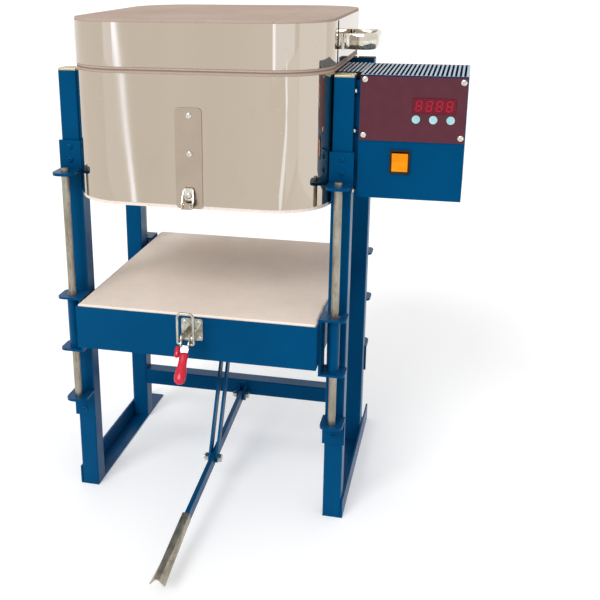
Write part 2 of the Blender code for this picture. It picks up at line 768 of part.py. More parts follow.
def add_elements(part, wire, sheath):
    part.add("heating_element", tube_mesh(element_path(), ELEMENT_RADIUS), wire)
    inner_end = CHAMBER_WIDTH / 2 - THERMOCOUPLE_REACH_IN
    head_start = RING_WIDTH / 2 + GAP
    length = head_start - inner_end + THERMOCOUPLE_HEAD_LENGTH
    profile = [
        (0, length),
        (THERMOCOUPLE_HEAD, length),
        (THERMOCOUPLE_HEAD, length - THERMOCOUPLE_HEAD_LENGTH),
        (THERMOCOUPLE_RADIUS, length - THERMOCOUPLE_HEAD_LENGTH),
        (THERMOCOUPLE_RADIUS, 0),
        (0, 0),
    ]
    probe = turned_mesh(profile, PIN_SIDES)
    probe.transform(at(inner_end, THERMOCOUPLE_Y, THERMOCOUPLE_LEVEL) @ TO_RIGHT)
    part.add("thermocouple", probe, sheath)


def add_catch(part, stainless):
    """Catch strip on the ring's front, with the hook that the draw latch pulls on folded from it."""
    middle = (CATCH_TOP + CATCH_BOTTOM) / 2
    outline = rounded_outline(CATCH_WIDTH, CATCH_TOP - CATCH_BOTTOM, CATCH_CORNER, SMALL_CORNER_STEPS)
    strip = plate_mesh([outline], CATCH_THICKNESS)
    back = RING_FRONT - GAP
    strip.transform(at(0, back - CATCH_THICKNESS / 2, middle) @ ALONG_Y)
    front = back - CATCH_THICKNESS - KEEPER_REACH
    root = back - CATCH_THICKNESS / 2
    profile = [
        (root, KEEPER_BOTTOM),
        (root, KEEPER_BOTTOM + KEEPER_THICKNESS),
        (front + KEEPER_THICKNESS, KEEPER_BOTTOM + KEEPER_THICKNESS),
        (front + KEEPER_THICKNESS, KEEPER_BOTTOM + KEEPER_LIP),
        (front, KEEPER_BOTTOM + KEEPER_LIP),
        (front, KEEPER_BOTTOM),
    ]
    keeper = plate_mesh([profile], KEEPER_WIDTH)
    keeper.transform(ALONG_X)
    part.add("catch_plate", fused(strip, keeper), stainless, smooth=False)


def handle_mesh():
    """Strap that stands on X zero and reaches to +X, bent in plan."""
    half = HANDLE_SPAN / 2
    foot = HANDLE_FOOT
    thick = HANDLE_THICKNESS
    middle_line = [
        (thick / 2, -half - foot, 0),
        (thick / 2, -half, 0),
        (HANDLE_REACH - thick / 2, -half, 0),
        (HANDLE_REACH - thick / 2, half, 0),
        (thick / 2, half, 0),
        (thick / 2, half + foot, 0),
    ]
    path = [Vector(middle_line[0])]
    radii = (thick, HANDLE_BEND, HANDLE_BEND, thick)
    for index, radius in enumerate(radii):
        bend = rounded_path(middle_line[index:index + 3], radius, SMALL_CORNER_STEPS)
        path += bend[1:-1]
    path.append(Vector(middle_line[-1]))
    left = []
    right = []
    for index, point in enumerate(path):
        before = path[max(index - 1, 0)]
        after = path[min(index + 1, len(path) - 1)]
        along = (after - before).normalized()
        across = Vector((along.y, -along.x, 0)) * thick / 2
        left.append((point + across).xy)
        right.append((point - across).xy)
    return plate_mesh([left + right[::-1]], HANDLE_WIDTH)


def add_lid(part, stainless, brick, chrome):
    part.group("lid", (0, 0, LID_BRICK_BOTTOM))
    part.add("lid_jacket", band_mesh(LID_BAND_BOTTOM, LID_BAND_TOP), stainless, "lid")
    slab = plate_mesh([brick_outline()], LID_BRICK_TOP - LID_BRICK_BOTTOM)
    slab.transform(at(0, 0, (LID_BRICK_TOP + LID_BRICK_BOTTOM) / 2))
    part.add("lid_bricks", slab, brick, "lid")
    face = RING_WIDTH / 2 + GAP
    for name, side in SIDES:
        strap = handle_mesh()
        strap.transform(Matrix.Rotation(0 if side > 0 else math.pi, 4, "Z"))
        strap.transform(at(side * face, 0, HANDLE_LEVEL))
        part.add("lid_handle_" + name, strap, chrome, "lid")


def add_hearth(part, blue, slab_cream):
    part.group("hearth", (0, 0, TRAY_BOTTOM))
    outer = span_box(
        (-HEARTH_WIDTH / 2, -RING_DEPTH / 2, TRAY_BOTTOM), (HEARTH_WIDTH / 2, RING_DEPTH / 2, TRAY_TOP)
    )
    inner_x = HEARTH_WIDTH / 2 - TRAY_THICKNESS
    inner_y = RING_DEPTH / 2 - TRAY_THICKNESS
    floor = TRAY_BOTTOM + TRAY_THICKNESS
    inner = span_box((-inner_x, -inner_y, floor), (inner_x, inner_y, TRAY_TOP + OVERRUN))
    part.add("hearth_tray", cut(outer, inner), blue, "hearth", smooth=False)
    slab = span_box(
        (GAP - inner_x, GAP - inner_y, floor + GAP), (inner_x - GAP, inner_y - GAP, SLAB_TOP)
    )
    item = scratch_object(slab)
    bevel = item.modifiers.new("chamfer", "BEVEL")
    bevel.width = SLAB_CHAMFER
    bevel.segments = 1
    part.add("hearth_slab", evaluated_mesh(item), slab_cream, "hearth", smooth=False)


def guide_mesh():
    """Front right guide: web on the tray's side, two plates and the tube between them."""
    web_in = HEARTH_WIDTH / 2 + GAP
    tip = HALF_WIDTH + GUIDE_PLATE_OVERHANG
    post_side = -HALF_DEPTH - ROD_STAND_OFF + GUIDE_PLATE_BACK
    front = -HALF_DEPTH - ROD_STAND_OFF - GUIDE_PLATE_FRONT
    web = span_box(
        (web_in, front, GUIDE_LOWER_BOTTOM), (web_in + GUIDE_PLATE_THICKNESS, post_side, GUIDE_UPPER_TOP)
    )
    width = tip - web_in
    depth = post_side - front
    centre = ((tip + web_in) / 2, (post_side + front) / 2)
    rounded = rounded_outline(width, depth, GUIDE_PLATE_CORNER, SMALL_CORNER_STEPS, centre)
    arc = SMALL_CORNER_STEPS + 1
    outline = [(web_in, front), *rounded[-arc:], *rounded[:arc], (web_in, post_side)]
    plate = plate_mesh([outline], GUIDE_PLATE_THICKNESS)
    upper = plate.copy()
    upper.transform(at(0, 0, GUIDE_UPPER_TOP - GUIDE_PLATE_THICKNESS / 2))
    lower = plate.copy()
    lower.transform(at(0, 0, GUIDE_LOWER_BOTTOM + GUIDE_PLATE_THICKNESS / 2))
    length = GUIDE_UPPER_TOP - GUIDE_LOWER_BOTTOM
    middle = (GUIDE_UPPER_TOP + GUIDE_LOWER_BOTTOM) / 2
    inner_length = length - GUIDE_PLATE_THICKNESS
    tube = moved(cylinder_mesh(GUIDE_TUBE_RADIUS, inner_length, ROD_SIDES), at(POST_X, -ROD_Y, middle))
    bore = moved(cylinder_mesh(GUIDE_TUBE_BORE, length + OVERRUN, ROD_SIDES), at(POST_X, -ROD_Y, middle))
    return cut(fused(web, upper, lower, tube), bore)


def add_guides(part, blue):
    source = guide_mesh()
    for end_name, end in ENDS:
        for side_name, side in SIDES:
            body = source.copy()
            body.transform(Matrix.Scale(side, 4, (1, 0, 0)) @ Matrix.Scale(-end, 4, (0, 1, 0)))
            if side * -end < 0:
                body.flip_normals()
            part.add("hearth_guide_" + end_name + "_" + side_name, body, blue, "hearth")


def ear_outline(root_y, root_low, root_high, eye_y, eye_z, radius):
    """Ear in the YZ plane from an upright root edge to a round end about an eye in front of it."""
    points = [(root_y, root_low)]
    for step in range(4 * SMALL_CORNER_STEPS + 1):
        angle = QUARTER_TURN * (3 - step / (2 * SMALL_CORNER_STEPS))
        points.append((eye_y + radius * math.cos(angle), eye_z + radius * math.sin(angle)))
    points.append((root_y, root_high))
    return points


def add_latch(part, steel, red):
    middle = (LATCH_BASE_TOP + LATCH_BASE_BOTTOM) / 2
    height = LATCH_BASE_TOP - LATCH_BASE_BOTTOM
    plate = plate_mesh(
        [rounded_outline(LATCH_BASE_WIDTH, height, LATCH_CORNER, SMALL_CORNER_STEPS)], LATCH_BASE_THICKNESS
    )
    plate.transform(at(0, LATCH_FACE + LATCH_BASE_THICKNESS / 2, middle) @ ALONG_Y)
    root = LATCH_FACE + LATCH_BASE_THICKNESS / 2
    eye = LATCH_PIVOT_LEVEL
    radius = LATCH_EAR_HEIGHT / 2
    ear = plate_mesh(
        [ear_outline(root, eye - radius, eye + radius, LATCH_PIVOT_Y, eye, radius)], LATCH_EAR_THICKNESS
    )
    ear_x = LATCH_EAR_OUTER / 2 - LATCH_EAR_THICKNESS / 2
    ears = [moved(ear.copy(), at(side * ear_x, 0, 0) @ ALONG_X) for _, side in SIDES]
    pin = cylinder_mesh(LATCH_PIN_RADIUS, LATCH_EAR_OUTER + 2 * GAP, PIN_SIDES)
    pin.transform(at(0, LATCH_PIVOT_Y, eye) @ ALONG_X)
    base = fused(plate, *ears, pin)
    part.add("latch_base", base, steel, "hearth")

    part.group("latch_handle", (0, LATCH_PIVOT_Y, LATCH_PIVOT_LEVEL))
    cheek_x = HANDLE_PLATE_OUTER / 2 - HANDLE_PLATE_THICKNESS / 2
    length = math.hypot(HOOK_PIVOT_FORWARD, HOOK_PIVOT_DROP)
    lean = math.atan2(HOOK_PIVOT_FORWARD, HOOK_PIVOT_DROP)
    outline = rounded_outline(
        2 * HANDLE_PLATE_HALF_DEPTH,
        length + 2 * HANDLE_PLATE_HALF_DEPTH,
        HANDLE_PLATE_HALF_DEPTH - GAP,
        2 * SMALL_CORNER_STEPS,
        (0, -length / 2),
    )
    cheek = plate_mesh([outline], HANDLE_PLATE_THICKNESS)
    swing = at(0, LATCH_PIVOT_Y, LATCH_PIVOT_LEVEL) @ Matrix.Rotation(-lean, 4, "X")
    cheeks = [moved(cheek.copy(), swing @ at(side * cheek_x, 0, 0) @ ALONG_X) for _, side in SIDES]
    bridge = box_mesh(HANDLE_PLATE_OUTER - HANDLE_PLATE_THICKNESS, BRIDGE_THICKNESS, BRIDGE_HEIGHT)
    hang = at(0, HOOK_PIVOT_Y, HOOK_PIVOT_Z) @ Matrix.Rotation(-LATCH_LEAN, 4, "X")
    bridge.transform(hang @ at(0, 0, -BRIDGE_DROP - BRIDGE_HEIGHT / 2))
    tongue = box_mesh(LATCH_TONGUE_WIDTH, LATCH_TONGUE_THICKNESS, LATCH_TONGUE_LENGTH)
    tongue.transform(hang @ at(0, 0, -HANDLE_PLATE_HALF_DEPTH - LATCH_TONGUE_LENGTH / 2))
    handle = fused(cheeks[0], cheeks[1], bridge, tongue)
    eye = cylinder_mesh(LATCH_PIN_RADIUS + 2 * GAP, LATCH_EAR_OUTER + OVERRUN, PIN_SIDES)
    eyes = [
        (eye, at(0, LATCH_PIVOT_Y, LATCH_PIVOT_LEVEL) @ ALONG_X),
        (eye, at(0, HOOK_PIVOT_Y, HOOK_PIVOT_Z) @ ALONG_X),
    ]
    part.add("latch_handle", cut(handle, joined(eyes)), steel, "latch_handle")

    grip_start = -HANDLE_PLATE_HALF_DEPTH - GRIP_TOP_RADIUS
    profile = [
        (0, grip_start),
        (GRIP_TOP_RADIUS, grip_start),
        (GRIP_WAIST_RADIUS, grip_start - GRIP_WAIST_SHARE * GRIP_LENGTH),
        (GRIP_END_RADIUS, grip_start - GRIP_SWELL_SHARE * GRIP_LENGTH),
        (GRIP_END_RADIUS, grip_start - GRIP_LENGTH + GRIP_END_RADIUS / 2),
        (GRIP_WAIST_RADIUS, grip_start - GRIP_LENGTH),
        (0, grip_start - GRIP_LENGTH),
    ]
    grip = turned_mesh(profile, PIN_SIDES)
    grip.transform(Matrix.Scale(GRIP_DEPTH_SHARE, 4, (0, 1, 0)))
    pocket = box_mesh(
        LATCH_TONGUE_WIDTH + 2 * GAP, LATCH_TONGUE_THICKNESS + 2 * GAP, LATCH_TONGUE_LENGTH + 2 * GAP
    )
    pocket.transform(at(0, 0, -HANDLE_PLATE_HALF_DEPTH - LATCH_TONGUE_LENGTH / 2))
    grip = cut(grip, pocket)
    grip.transform(hang)
    part.add("latch_grip", grip, red, "latch_handle")

    part.group("latch_hook", (0, HOOK_PIVOT_Y, HOOK_PIVOT_Z))
    half = HOOK_HALF_WIDTH
    top = HOOK_TOP - HOOK_WIRE_RADIUS
    corners = [
        (-HOOK_END_X, HOOK_PIVOT_Y, HOOK_PIVOT_Z),
        (-half, HOOK_PIVOT_Y, HOOK_PIVOT_Z),
        (-half, HOOK_PIVOT_Y, top),
        (half, HOOK_PIVOT_Y, top),
        (half, HOOK_PIVOT_Y, HOOK_PIVOT_Z),
        (HOOK_END_X, HOOK_PIVOT_Y, HOOK_PIVOT_Z),
    ]
    path = [Vector(corners[0])]
    for index, radius in enumerate((HOOK_EYE_BEND, HOOK_BEND, HOOK_BEND, HOOK_EYE_BEND)):
        path += rounded_path(corners[index:index + 3], radius, SMALL_CORNER_STEPS)[1:-1]
    path.append(Vector(corners[-1]))
    part.add("latch_hook", tube_mesh(path, HOOK_WIRE_RADIUS, 2), steel, "latch_hook")


def pivot_bolt_mesh(half_grip, radius):
    """Hex bolt along X with its nut tightened on it, round a stack centred on zero."""
    seat = half_grip + GAP
    length = 2 * seat + PIVOT_BOLT_EXTRA + HEX_HEAD_HEIGHT / 2
    head = cylinder_mesh(HEX_HEAD_RADIUS, HEX_HEAD_HEIGHT, HEX_SIDES)
    head.transform(at(0, 0, seat + HEX_HEAD_HEIGHT / 2))
    shank = cylinder_mesh(radius, length, PIN_SIDES)
    shank.transform(at(0, 0, seat + HEX_HEAD_HEIGHT / 2 - length / 2))
    nut = cylinder_mesh(HEX_HEAD_RADIUS, HEX_HEAD_HEIGHT, HEX_SIDES)
    nut.transform(at(0, 0, -seat - HEX_HEAD_HEIGHT / 2))
    return moved(fused(head, shank, nut), ALONG_X)


def add_lever_clevis(part, blue, steel):
    """Two ears on a web that is welded to the cross rail's front, and the bolt that the lever turns on."""
    web_back = HALF_DEPTH - POST_WIDTH - GAP
    low = CROSS_RAIL_TOP - POST_WIDTH + POST_CORNER
    high = CROSS_RAIL_TOP - POST_CORNER
    ear_x = LEVER_THICKNESS / 2 + LEVER_SIDE_GAP + CLEVIS_THICKNESS / 2
    web_half = ear_x + CLEVIS_THICKNESS / 2
    web = span_box((-web_half, web_back - CLEVIS_WEB, low), (web_half, web_back, high))
    root = web_back - CLEVIS_WEB / 2
    outline = ear_outline(root, low, high, LEVER_PIVOT_Y, LEVER_PIVOT_Z, CLEVIS_END_RADIUS)
    ear = plate_mesh([outline], CLEVIS_THICKNESS)
    ears = [moved(ear.copy(), at(side * ear_x, 0, 0) @ ALONG_X) for _, side in SIDES]
    hole = cylinder_mesh(PIVOT_BOLT_RADIUS + HOLE_CLEARANCE, 2 * HEX_HEAD_RADIUS + 2 * ear_x, PIN_SIDES)
    hole.transform(at(0, LEVER_PIVOT_Y, LEVER_PIVOT_Z) @ ALONG_X)
    part.add("lever_clevis", cut(fused(web, *ears), hole), blue)
    bolt = pivot_bolt_mesh(web_half, PIVOT_BOLT_RADIUS)
    bolt.transform(at(0, LEVER_PIVOT_Y, LEVER_PIVOT_Z))
    part.add("lever_pivot_bolt", bolt, steel)


def pedal_mesh():
    """Flared shoe along -Y, folded to a crest, lofted between its narrow and its wide section."""
    start = PEDAL_START_HALF_WIDTH
    sections = (
        (-LEVER_BAR_REACH + PEDAL_LAP, start, start, PEDAL_START_DROP),
        (-LEVER_BAR_REACH - GAP, start, start, PEDAL_START_DROP),
        (-PEDAL_REACH, PEDAL_END_HALF_WIDTH, PEDAL_END_SHOULDER, PEDAL_END_DROP),
    )
    crest = PEDAL_CREST
    shape = bmesh.new()
    rings = []
    for y, half, shoulder, drop in sections:
        upper = [(-half, crest - drop), (-shoulder, crest), (shoulder, crest), (half, crest - drop)]
        inner = [(x - math.copysign(PEDAL_SHEET, x), z) for x, z in upper]
        lower = [
            (inner[3][0], inner[3][1]),
            (inner[2][0], crest - PEDAL_SHEET),
            (inner[1][0], crest - PEDAL_SHEET),
            (inner[0][0], inner[0][1]),
        ]
        rings.append([shape.verts.new((x, y, z)) for x, z in upper + lower])
    for first, second in zip(rings, rings[1:]):
        count = len(first)
        for index in range(count):
            after = (index + 1) % count
            shape.faces.new((first[index], first[after], second[after], second[index]))
    for ring in (rings[0], rings[-1]):
        opposite = ring[::-1]
        for index in range(3):
            shape.faces.new((ring[index], ring[index + 1], opposite[index + 1], opposite[index]))
    bmesh.ops.recalc_face_normals(shape, faces=shape.faces)
    mesh = bpy.data.meshes.new("pedal")
    shape.to_mesh(mesh)
    shape.free()
    return mesh


def add_lever(part, blue, steel, zinc):
    part.group("foot_lever", (0, LEVER_PIVOT_Y, LEVER_PIVOT_Z))
    rest = at(0, LEVER_PIVOT_Y, LEVER_PIVOT_Z) @ Matrix.Rotation(LEVER_REST_ANGLE, 4, "X")
    length = LEVER_BAR_REACH + LEVER_TAIL
    outline = rounded_outline(
        length, LEVER_DEPTH, LEVER_DEPTH / 2 - GAP, SMALL_CORNER_STEPS, (LEVER_TAIL - length / 2, 0)
    )
    bar = plate_mesh([outline], LEVER_THICKNESS)
    bar.transform(ALONG_X)
    holes = []
    for y in (0, -LEVER_LINK_REACH):
        hole = cylinder_mesh(PIVOT_BOLT_RADIUS + HOLE_CLEARANCE, LEVER_THICKNESS + OVERRUN, PIN_SIDES)
        holes.append((hole, at(0, y, 0) @ ALONG_X))
    bar = cut(bar, joined(holes))
    bar.transform(rest)
    part.add("foot_lever", bar, blue, "foot_lever")
    shoe = pedal_mesh()
    shoe.transform(rest)
    part.add("pedal_shoe", shoe, zinc, "foot_lever", smooth=False)
    half_grip = LEVER_THICKNESS / 2 + LEVER_SIDE_GAP + STRAP_THICKNESS
    bolt = pivot_bolt_mesh(half_grip, PIVOT_BOLT_RADIUS)
    bolt.transform(at(0, PIN_Y, PIN_Z))
    part.add("link_bolt", bolt, steel, "foot_lever")


def add_link(part, blue, steel):
    part.group("lift_link", (0, PIN_Y, PIN_Z))
    outline = rounded_outline(
        STRAP_WIDTH,
        LINK_LENGTH + 2 * STRAP_END_EXTRA,
        STRAP_WIDTH / 2 - GAP,
        2 * SMALL_CORNER_STEPS,
        (0, LINK_LENGTH / 2),
    )
    eyes = [
        circle_outline(LINK_PIN_RADIUS + HOLE_CLEARANCE, PIN_SIDES),
        circle_outline(LINK_PIN_RADIUS + HOLE_CLEARANCE, PIN_SIDES, (0, LINK_LENGTH)),
    ]
    strap = plate_mesh([outline, *eyes], STRAP_THICKNESS)
    lean = at(0, PIN_Y, PIN_Z) @ Matrix.Rotation(-LINK_LEAN, 4, "X")
    strap_x = LEVER_THICKNESS / 2 + LEVER_SIDE_GAP + STRAP_THICKNESS / 2
    for name, side in SIDES:
        body = moved(strap.copy(), lean @ at(side * strap_x, 0, 0) @ ALONG_X)
        part.add("link_strap_" + name, body, blue, "lift_link")
    pin = pivot_bolt_mesh(strap_x + STRAP_THICKNESS / 2 + 2 * GAP + LUG_THICKNESS, LINK_PIN_RADIUS)
    pin.transform(at(0, LINK_TOP_Y, LINK_TOP_Z))
    part.add("link_top_pin", pin, steel, "lift_link")


def add_hearth_clevis(part, blue):
    """Plate under the tray with two lugs whose long slots give the top pin its free travel."""
    top = TRAY_BOTTOM - GAP
    plate = span_box(
        (-LUG_PLATE_WIDTH / 2, LINK_TOP_Y - LUG_PLATE_LENGTH / 2, top - LUG_PLATE_THICKNESS),
        (LUG_PLATE_WIDTH / 2, LINK_TOP_Y + LUG_PLATE_LENGTH / 2, top),
    )
    slot_half = LINK_PIN_RADIUS + SLOT_PLAY
    lug_height = top - LINK_TOP_Z + slot_half + LUG_WALL
    lug_outline = rounded_outline(
        LUG_PLATE_LENGTH, lug_height, LUG_WALL, SMALL_CORNER_STEPS, (LINK_TOP_Y, top - lug_height / 2)
    )
    slot = rounded_outline(
        SLOT_TRAVEL + 2 * slot_half,
        2 * slot_half,
        slot_half - GAP,
        2 * SMALL_CORNER_STEPS,
        (-SLOT_TRAVEL / 2, 0),
    )
    tilt = at(LINK_TOP_Y, LINK_TOP_Z, 0) @ Matrix.Rotation(-SLOT_TILT, 4, "Z")
    slot = [(tilt @ Vector((y, z, 0))).xy for y, z in slot]
    lug = plate_mesh([lug_outline, slot], LUG_THICKNESS)
    lug_x = LEVER_THICKNESS / 2 + LEVER_SIDE_GAP + STRAP_THICKNESS + GAP + LUG_THICKNESS / 2
    lugs = [moved(lug.copy(), at(side * lug_x, 0, 0) @ ALONG_X) for _, side in SIDES]
    shaved = span_box(
        (-LUG_PLATE_WIDTH, LINK_TOP_Y - LUG_PLATE_LENGTH, top),
        (LUG_PLATE_WIDTH, LINK_TOP_Y + LUG_PLATE_LENGTH, top + LUG_PLATE_THICKNESS),
    )
    part.add("hearth_clevis", cut(fused(plate, *lugs), shaved), blue, "hearth", smooth=False)


def button_places():
    right = BOX_RIGHT - BUTTON_LAST_INSET
    level = BOX_TOP - BUTTON_DROP
    names = ("button_start", "button_up", "button_down")
    return [(name, right - (2 - index) * BUTTON_PITCH, level) for index, name in enumerate(names)]


def box_front_cutters():
    """Cutters for all that passes through the control box's front."""
    depth = 4 * BOX_SHEET + OVERRUN
    cutters = []
    window = box_mesh(DISPLAY_WIDTH + 2 * GAP, depth, DISPLAY_HEIGHT + 2 * GAP)
    window_x = BOX_RIGHT - DISPLAY_RIGHT_INSET - DISPLAY_WIDTH / 2
    window_z = BOX_TOP - DISPLAY_TOP_INSET - DISPLAY_HEIGHT / 2
    cutters.append((window, at(window_x, BOX_FRONT, window_z)))
    round_hole = cylinder_mesh(BUTTON_RADIUS + GAP, depth, ROD_SIDES)
    for _, x, level in button_places():
        cutters.append((round_hole, at(x, BOX_FRONT, level) @ ALONG_Y))
    inner_width = SWITCH_WIDTH - 2 * SWITCH_BEZEL_RIM + 2 * SWITCH_BODY_WALL
    inner_height = SWITCH_HEIGHT - 2 * SWITCH_BEZEL_RIM + 2 * SWITCH_BODY_WALL
    opening = box_mesh(inner_width + 2 * GAP, depth, inner_height + 2 * GAP)
    cutters.append((opening, at(SWITCH_X, BOX_FRONT, SWITCH_MIDDLE_LEVEL)))
    return joined(cutters)


def add_control_box(part, blue, grey):
    outer = span_box((BOX_LEFT, BOX_FRONT, BOX_BOTTOM), (BOX_RIGHT, BOX_BACK, BOX_TOP - BOX_SHEET - GAP))
    inner = span_box(
        (BOX_LEFT + BOX_SHEET, BOX_FRONT + BOX_SHEET, BOX_BOTTOM + BOX_SHEET),
        (BOX_RIGHT - BOX_SHEET, BOX_BACK - BOX_SHEET, BOX_TOP + OVERRUN),
    )
    shell = cut(outer, inner)
    tab = span_box(
        (HALF_WIDTH + GAP, BOX_FRONT + BOX_TAB_INSET, BOX_BOTTOM + BOX_TAB_INSET),
        (BOX_LEFT + BOX_SHEET / 2, BOX_FRONT + BOX_TAB_INSET + BOX_SHEET, BOX_TOP - BOX_TAB_INSET),
    )
    gland_hole = cylinder_mesh(GLAND_NECK_RADIUS + GAP, OVERRUN + 4 * BOX_SHEET, ROD_SIDES)
    gland_hole.transform(at(*gland_place()))
    duct_hole = span_box(
        (BOX_LEFT - OVERRUN, DUCT_FRONT + BOX_SHEET, DUCT_BOTTOM + BOX_SHEET),
        (BOX_LEFT + OVERRUN, DUCT_BACK - BOX_SHEET, BOX_TOP - BOX_TAB_INSET),
    )
    shell = cut(fused(shell, tab), box_front_cutters(), gland_hole, duct_hole)
    part.add("control_box_shell", shell, blue, smooth=False)

    lid_low = BOX_TOP - BOX_SHEET
    plate = span_box((BOX_LEFT, BOX_FRONT, lid_low), (BOX_RIGHT, BOX_BACK, BOX_TOP))
    usable = BOX_WIDTH - 2 * VENT_SIDE_MARGIN
    count = int(usable / VENT_PITCH)
    pitch = usable / count
    slot = box_mesh(pitch * VENT_SLOT_SHARE, BOX_DEPTH - 2 * VENT_END_MARGIN, BOX_SHEET + OVERRUN)
    middle_y = (BOX_FRONT + BOX_BACK) / 2
    slots = [
        (slot, at(BOX_LEFT + VENT_SIDE_MARGIN + pitch * (index + 1 / 2), middle_y, lid_low))
        for index in range(count)
    ]
    part.add("control_box_vent", cut(plate, joined(slots)), grey, smooth=False)


def add_duct(part, grey):
    """Open-ended sheet duct that carries the element tails from the ring's side to the control box."""
    low = RING_WIDTH / 2 + GAP
    high = BOX_LEFT - GAP
    outer = span_box((low, DUCT_FRONT, DUCT_BOTTOM), (high, DUCT_BACK, DUCT_TOP))
    inner = span_box(
        (low - OVERRUN, DUCT_FRONT + BOX_SHEET, DUCT_BOTTOM + BOX_SHEET),
        (high + OVERRUN, DUCT_BACK - BOX_SHEET, DUCT_TOP - BOX_SHEET),
    )
    part.add("wiring_duct", cut(outer, inner), grey, smooth=False)


def add_panel(part, maroon, display, button_blue):
    panel = span_box(
        (BOX_LEFT + PANEL_EDGE_INSET, PANEL_FRONT, BOX_TOP - PANEL_HEIGHT),
        (BOX_RIGHT - PANEL_EDGE_INSET, PANEL_FRONT + PANEL_THICKNESS, BOX_TOP - PANEL_TOP_DROP),
    )
    part.add("controller_panel", cut(panel, box_front_cutters()), maroon, smooth=False)
    right = BOX_RIGHT - DISPLAY_RIGHT_INSET
    top = BOX_TOP - DISPLAY_TOP_INSET
    window = span_box(
        (right - DISPLAY_WIDTH, PANEL_FRONT - DISPLAY_PROUD, top - DISPLAY_HEIGHT),
        (right, PANEL_FRONT + DISPLAY_DEPTH, top),
    )
    part.add("display_window", window, display, smooth=False)
    button = cylinder_mesh(BUTTON_RADIUS, BUTTON_DEPTH + BUTTON_PROUD, ROD_SIDES)
    button.transform(ALONG_Y)
    middle_y = PANEL_FRONT + (BUTTON_DEPTH - BUTTON_PROUD) / 2
    for name, x, level in button_places():
        part.group(name, (x, PANEL_FRONT, level))
        body = button.copy()
        body.transform(at(x, middle_y, level))
        part.add(name, body, button_blue, name)


def add_switch(part, black, amber):
    rim = plate_mesh(
        [
            rounded_outline(SWITCH_WIDTH, SWITCH_HEIGHT, SWITCH_BEZEL_RIM / 2, SMALL_CORNER_STEPS),
            rounded_outline(
                SWITCH_WIDTH - 2 * SWITCH_BEZEL_RIM,
                SWITCH_HEIGHT - 2 * SWITCH_BEZEL_RIM,
                SWITCH_BEZEL_RIM / 4,
                SMALL_CORNER_STEPS,
            ),
        ],
        SWITCH_BEZEL_PROUD,
    )
    rim.transform(at(SWITCH_X, BOX_FRONT - GAP - SWITCH_BEZEL_PROUD / 2, SWITCH_MIDDLE_LEVEL) @ ALONG_Y)
    well_width = SWITCH_WIDTH - 2 * SWITCH_BEZEL_RIM
    well_height = SWITCH_HEIGHT - 2 * SWITCH_BEZEL_RIM
    body_front = BOX_FRONT - GAP - SWITCH_BEZEL_PROUD / 2
    half_wide = well_width / 2 + SWITCH_BODY_WALL
    half_high = well_height / 2 + SWITCH_BODY_WALL
    body = span_box(
        (-half_wide, body_front, -half_high),
        (half_wide, BOX_FRONT + SWITCH_BODY_DEPTH, half_high),
    )
    well = span_box(
        (-well_width / 2, body_front - OVERRUN, -well_height / 2),
        (well_width / 2, BOX_FRONT + SWITCH_BODY_DEPTH - SWITCH_BODY_WALL, well_height / 2),
    )
    body = moved(cut(body, well), at(SWITCH_X, 0, SWITCH_MIDDLE_LEVEL))
    part.add("switch_bezel", fused(body, rim), black, smooth=False)

    part.group("switch_rocker", (SWITCH_X, ROCKER_Y, SWITCH_MIDDLE_LEVEL))
    width = well_width - 2 * ROCKER_GAP
    half = well_height / 2 - 2 * ROCKER_GAP
    face = SWITCH_BEZEL_PROUD + ROCKER_PROUD
    dish = half * math.sin(ROCKER_TILT)
    outline = [(-face, half), (-face + dish, 0), (-face, -half), (ROCKER_DEPTH, -half / 2), (ROCKER_DEPTH, half / 2)]
    rocker = plate_mesh([outline], width)
    tilt = Matrix.Rotation(ROCKER_TILT, 4, "X")
    rocker.transform(at(SWITCH_X, ROCKER_Y, SWITCH_MIDDLE_LEVEL) @ tilt @ ALONG_X)
    part.add("switch_rocker", rocker, amber, "switch_rocker", smooth=False)


def gland_place():
    x = (BOX_LEFT + BOX_RIGHT) / 2
    y = BOX_BACK - 2 * GLAND_RADIUS
    return x, y, BOX_BOTTOM


def add_box_contents(part, green, black, grey):
    front = PANEL_FRONT + DISPLAY_DEPTH + BOARD_STAND_OFF
    low = BOX_TOP - PANEL_HEIGHT + BOARD_MARGIN
    high = BOX_TOP - BOARD_MARGIN
    board = span_box(
        (BOX_LEFT + BOX_SHEET + GAP, front, low),
        (BOX_RIGHT - BOX_SHEET - GAP, front + BOARD_THICKNESS, high),
    )
    part.add("controller_board", board, green, smooth=False)
    relay_x = BOX_RIGHT - BOX_SHEET - GAP - RELAY_WIDTH
    relay_back = BOX_BACK - BOX_SHEET - GAP
    relay_low = BOX_BOTTOM + BOX_SHEET + GAP
    relay = span_box(
        (relay_x, relay_back - RELAY_DEPTH, relay_low),
        (relay_x + RELAY_WIDTH, relay_back, relay_low + RELAY_HEIGHT),
    )
    part.add("power_relay", relay, grey, smooth=False)
    inside = BOX_SHEET + GAP + GLAND_NECK_LENGTH
    profile = [
        (GLAND_BORE, inside),
        (GLAND_NECK_RADIUS, inside),
        (GLAND_NECK_RADIUS, -GAP),
        (GLAND_RADIUS, -GAP),
        (GLAND_RADIUS, -GLAND_LENGTH / 2),
        (GLAND_NECK_RADIUS, -GLAND_LENGTH),
        (GLAND_BORE, -GLAND_LENGTH),
        (GLAND_BORE, inside),
    ]
    gland = turned_mesh(profile, ROD_SIDES)
    gland.transform(at(*gland_place()))
    part.add("cord_gland", gland, black)


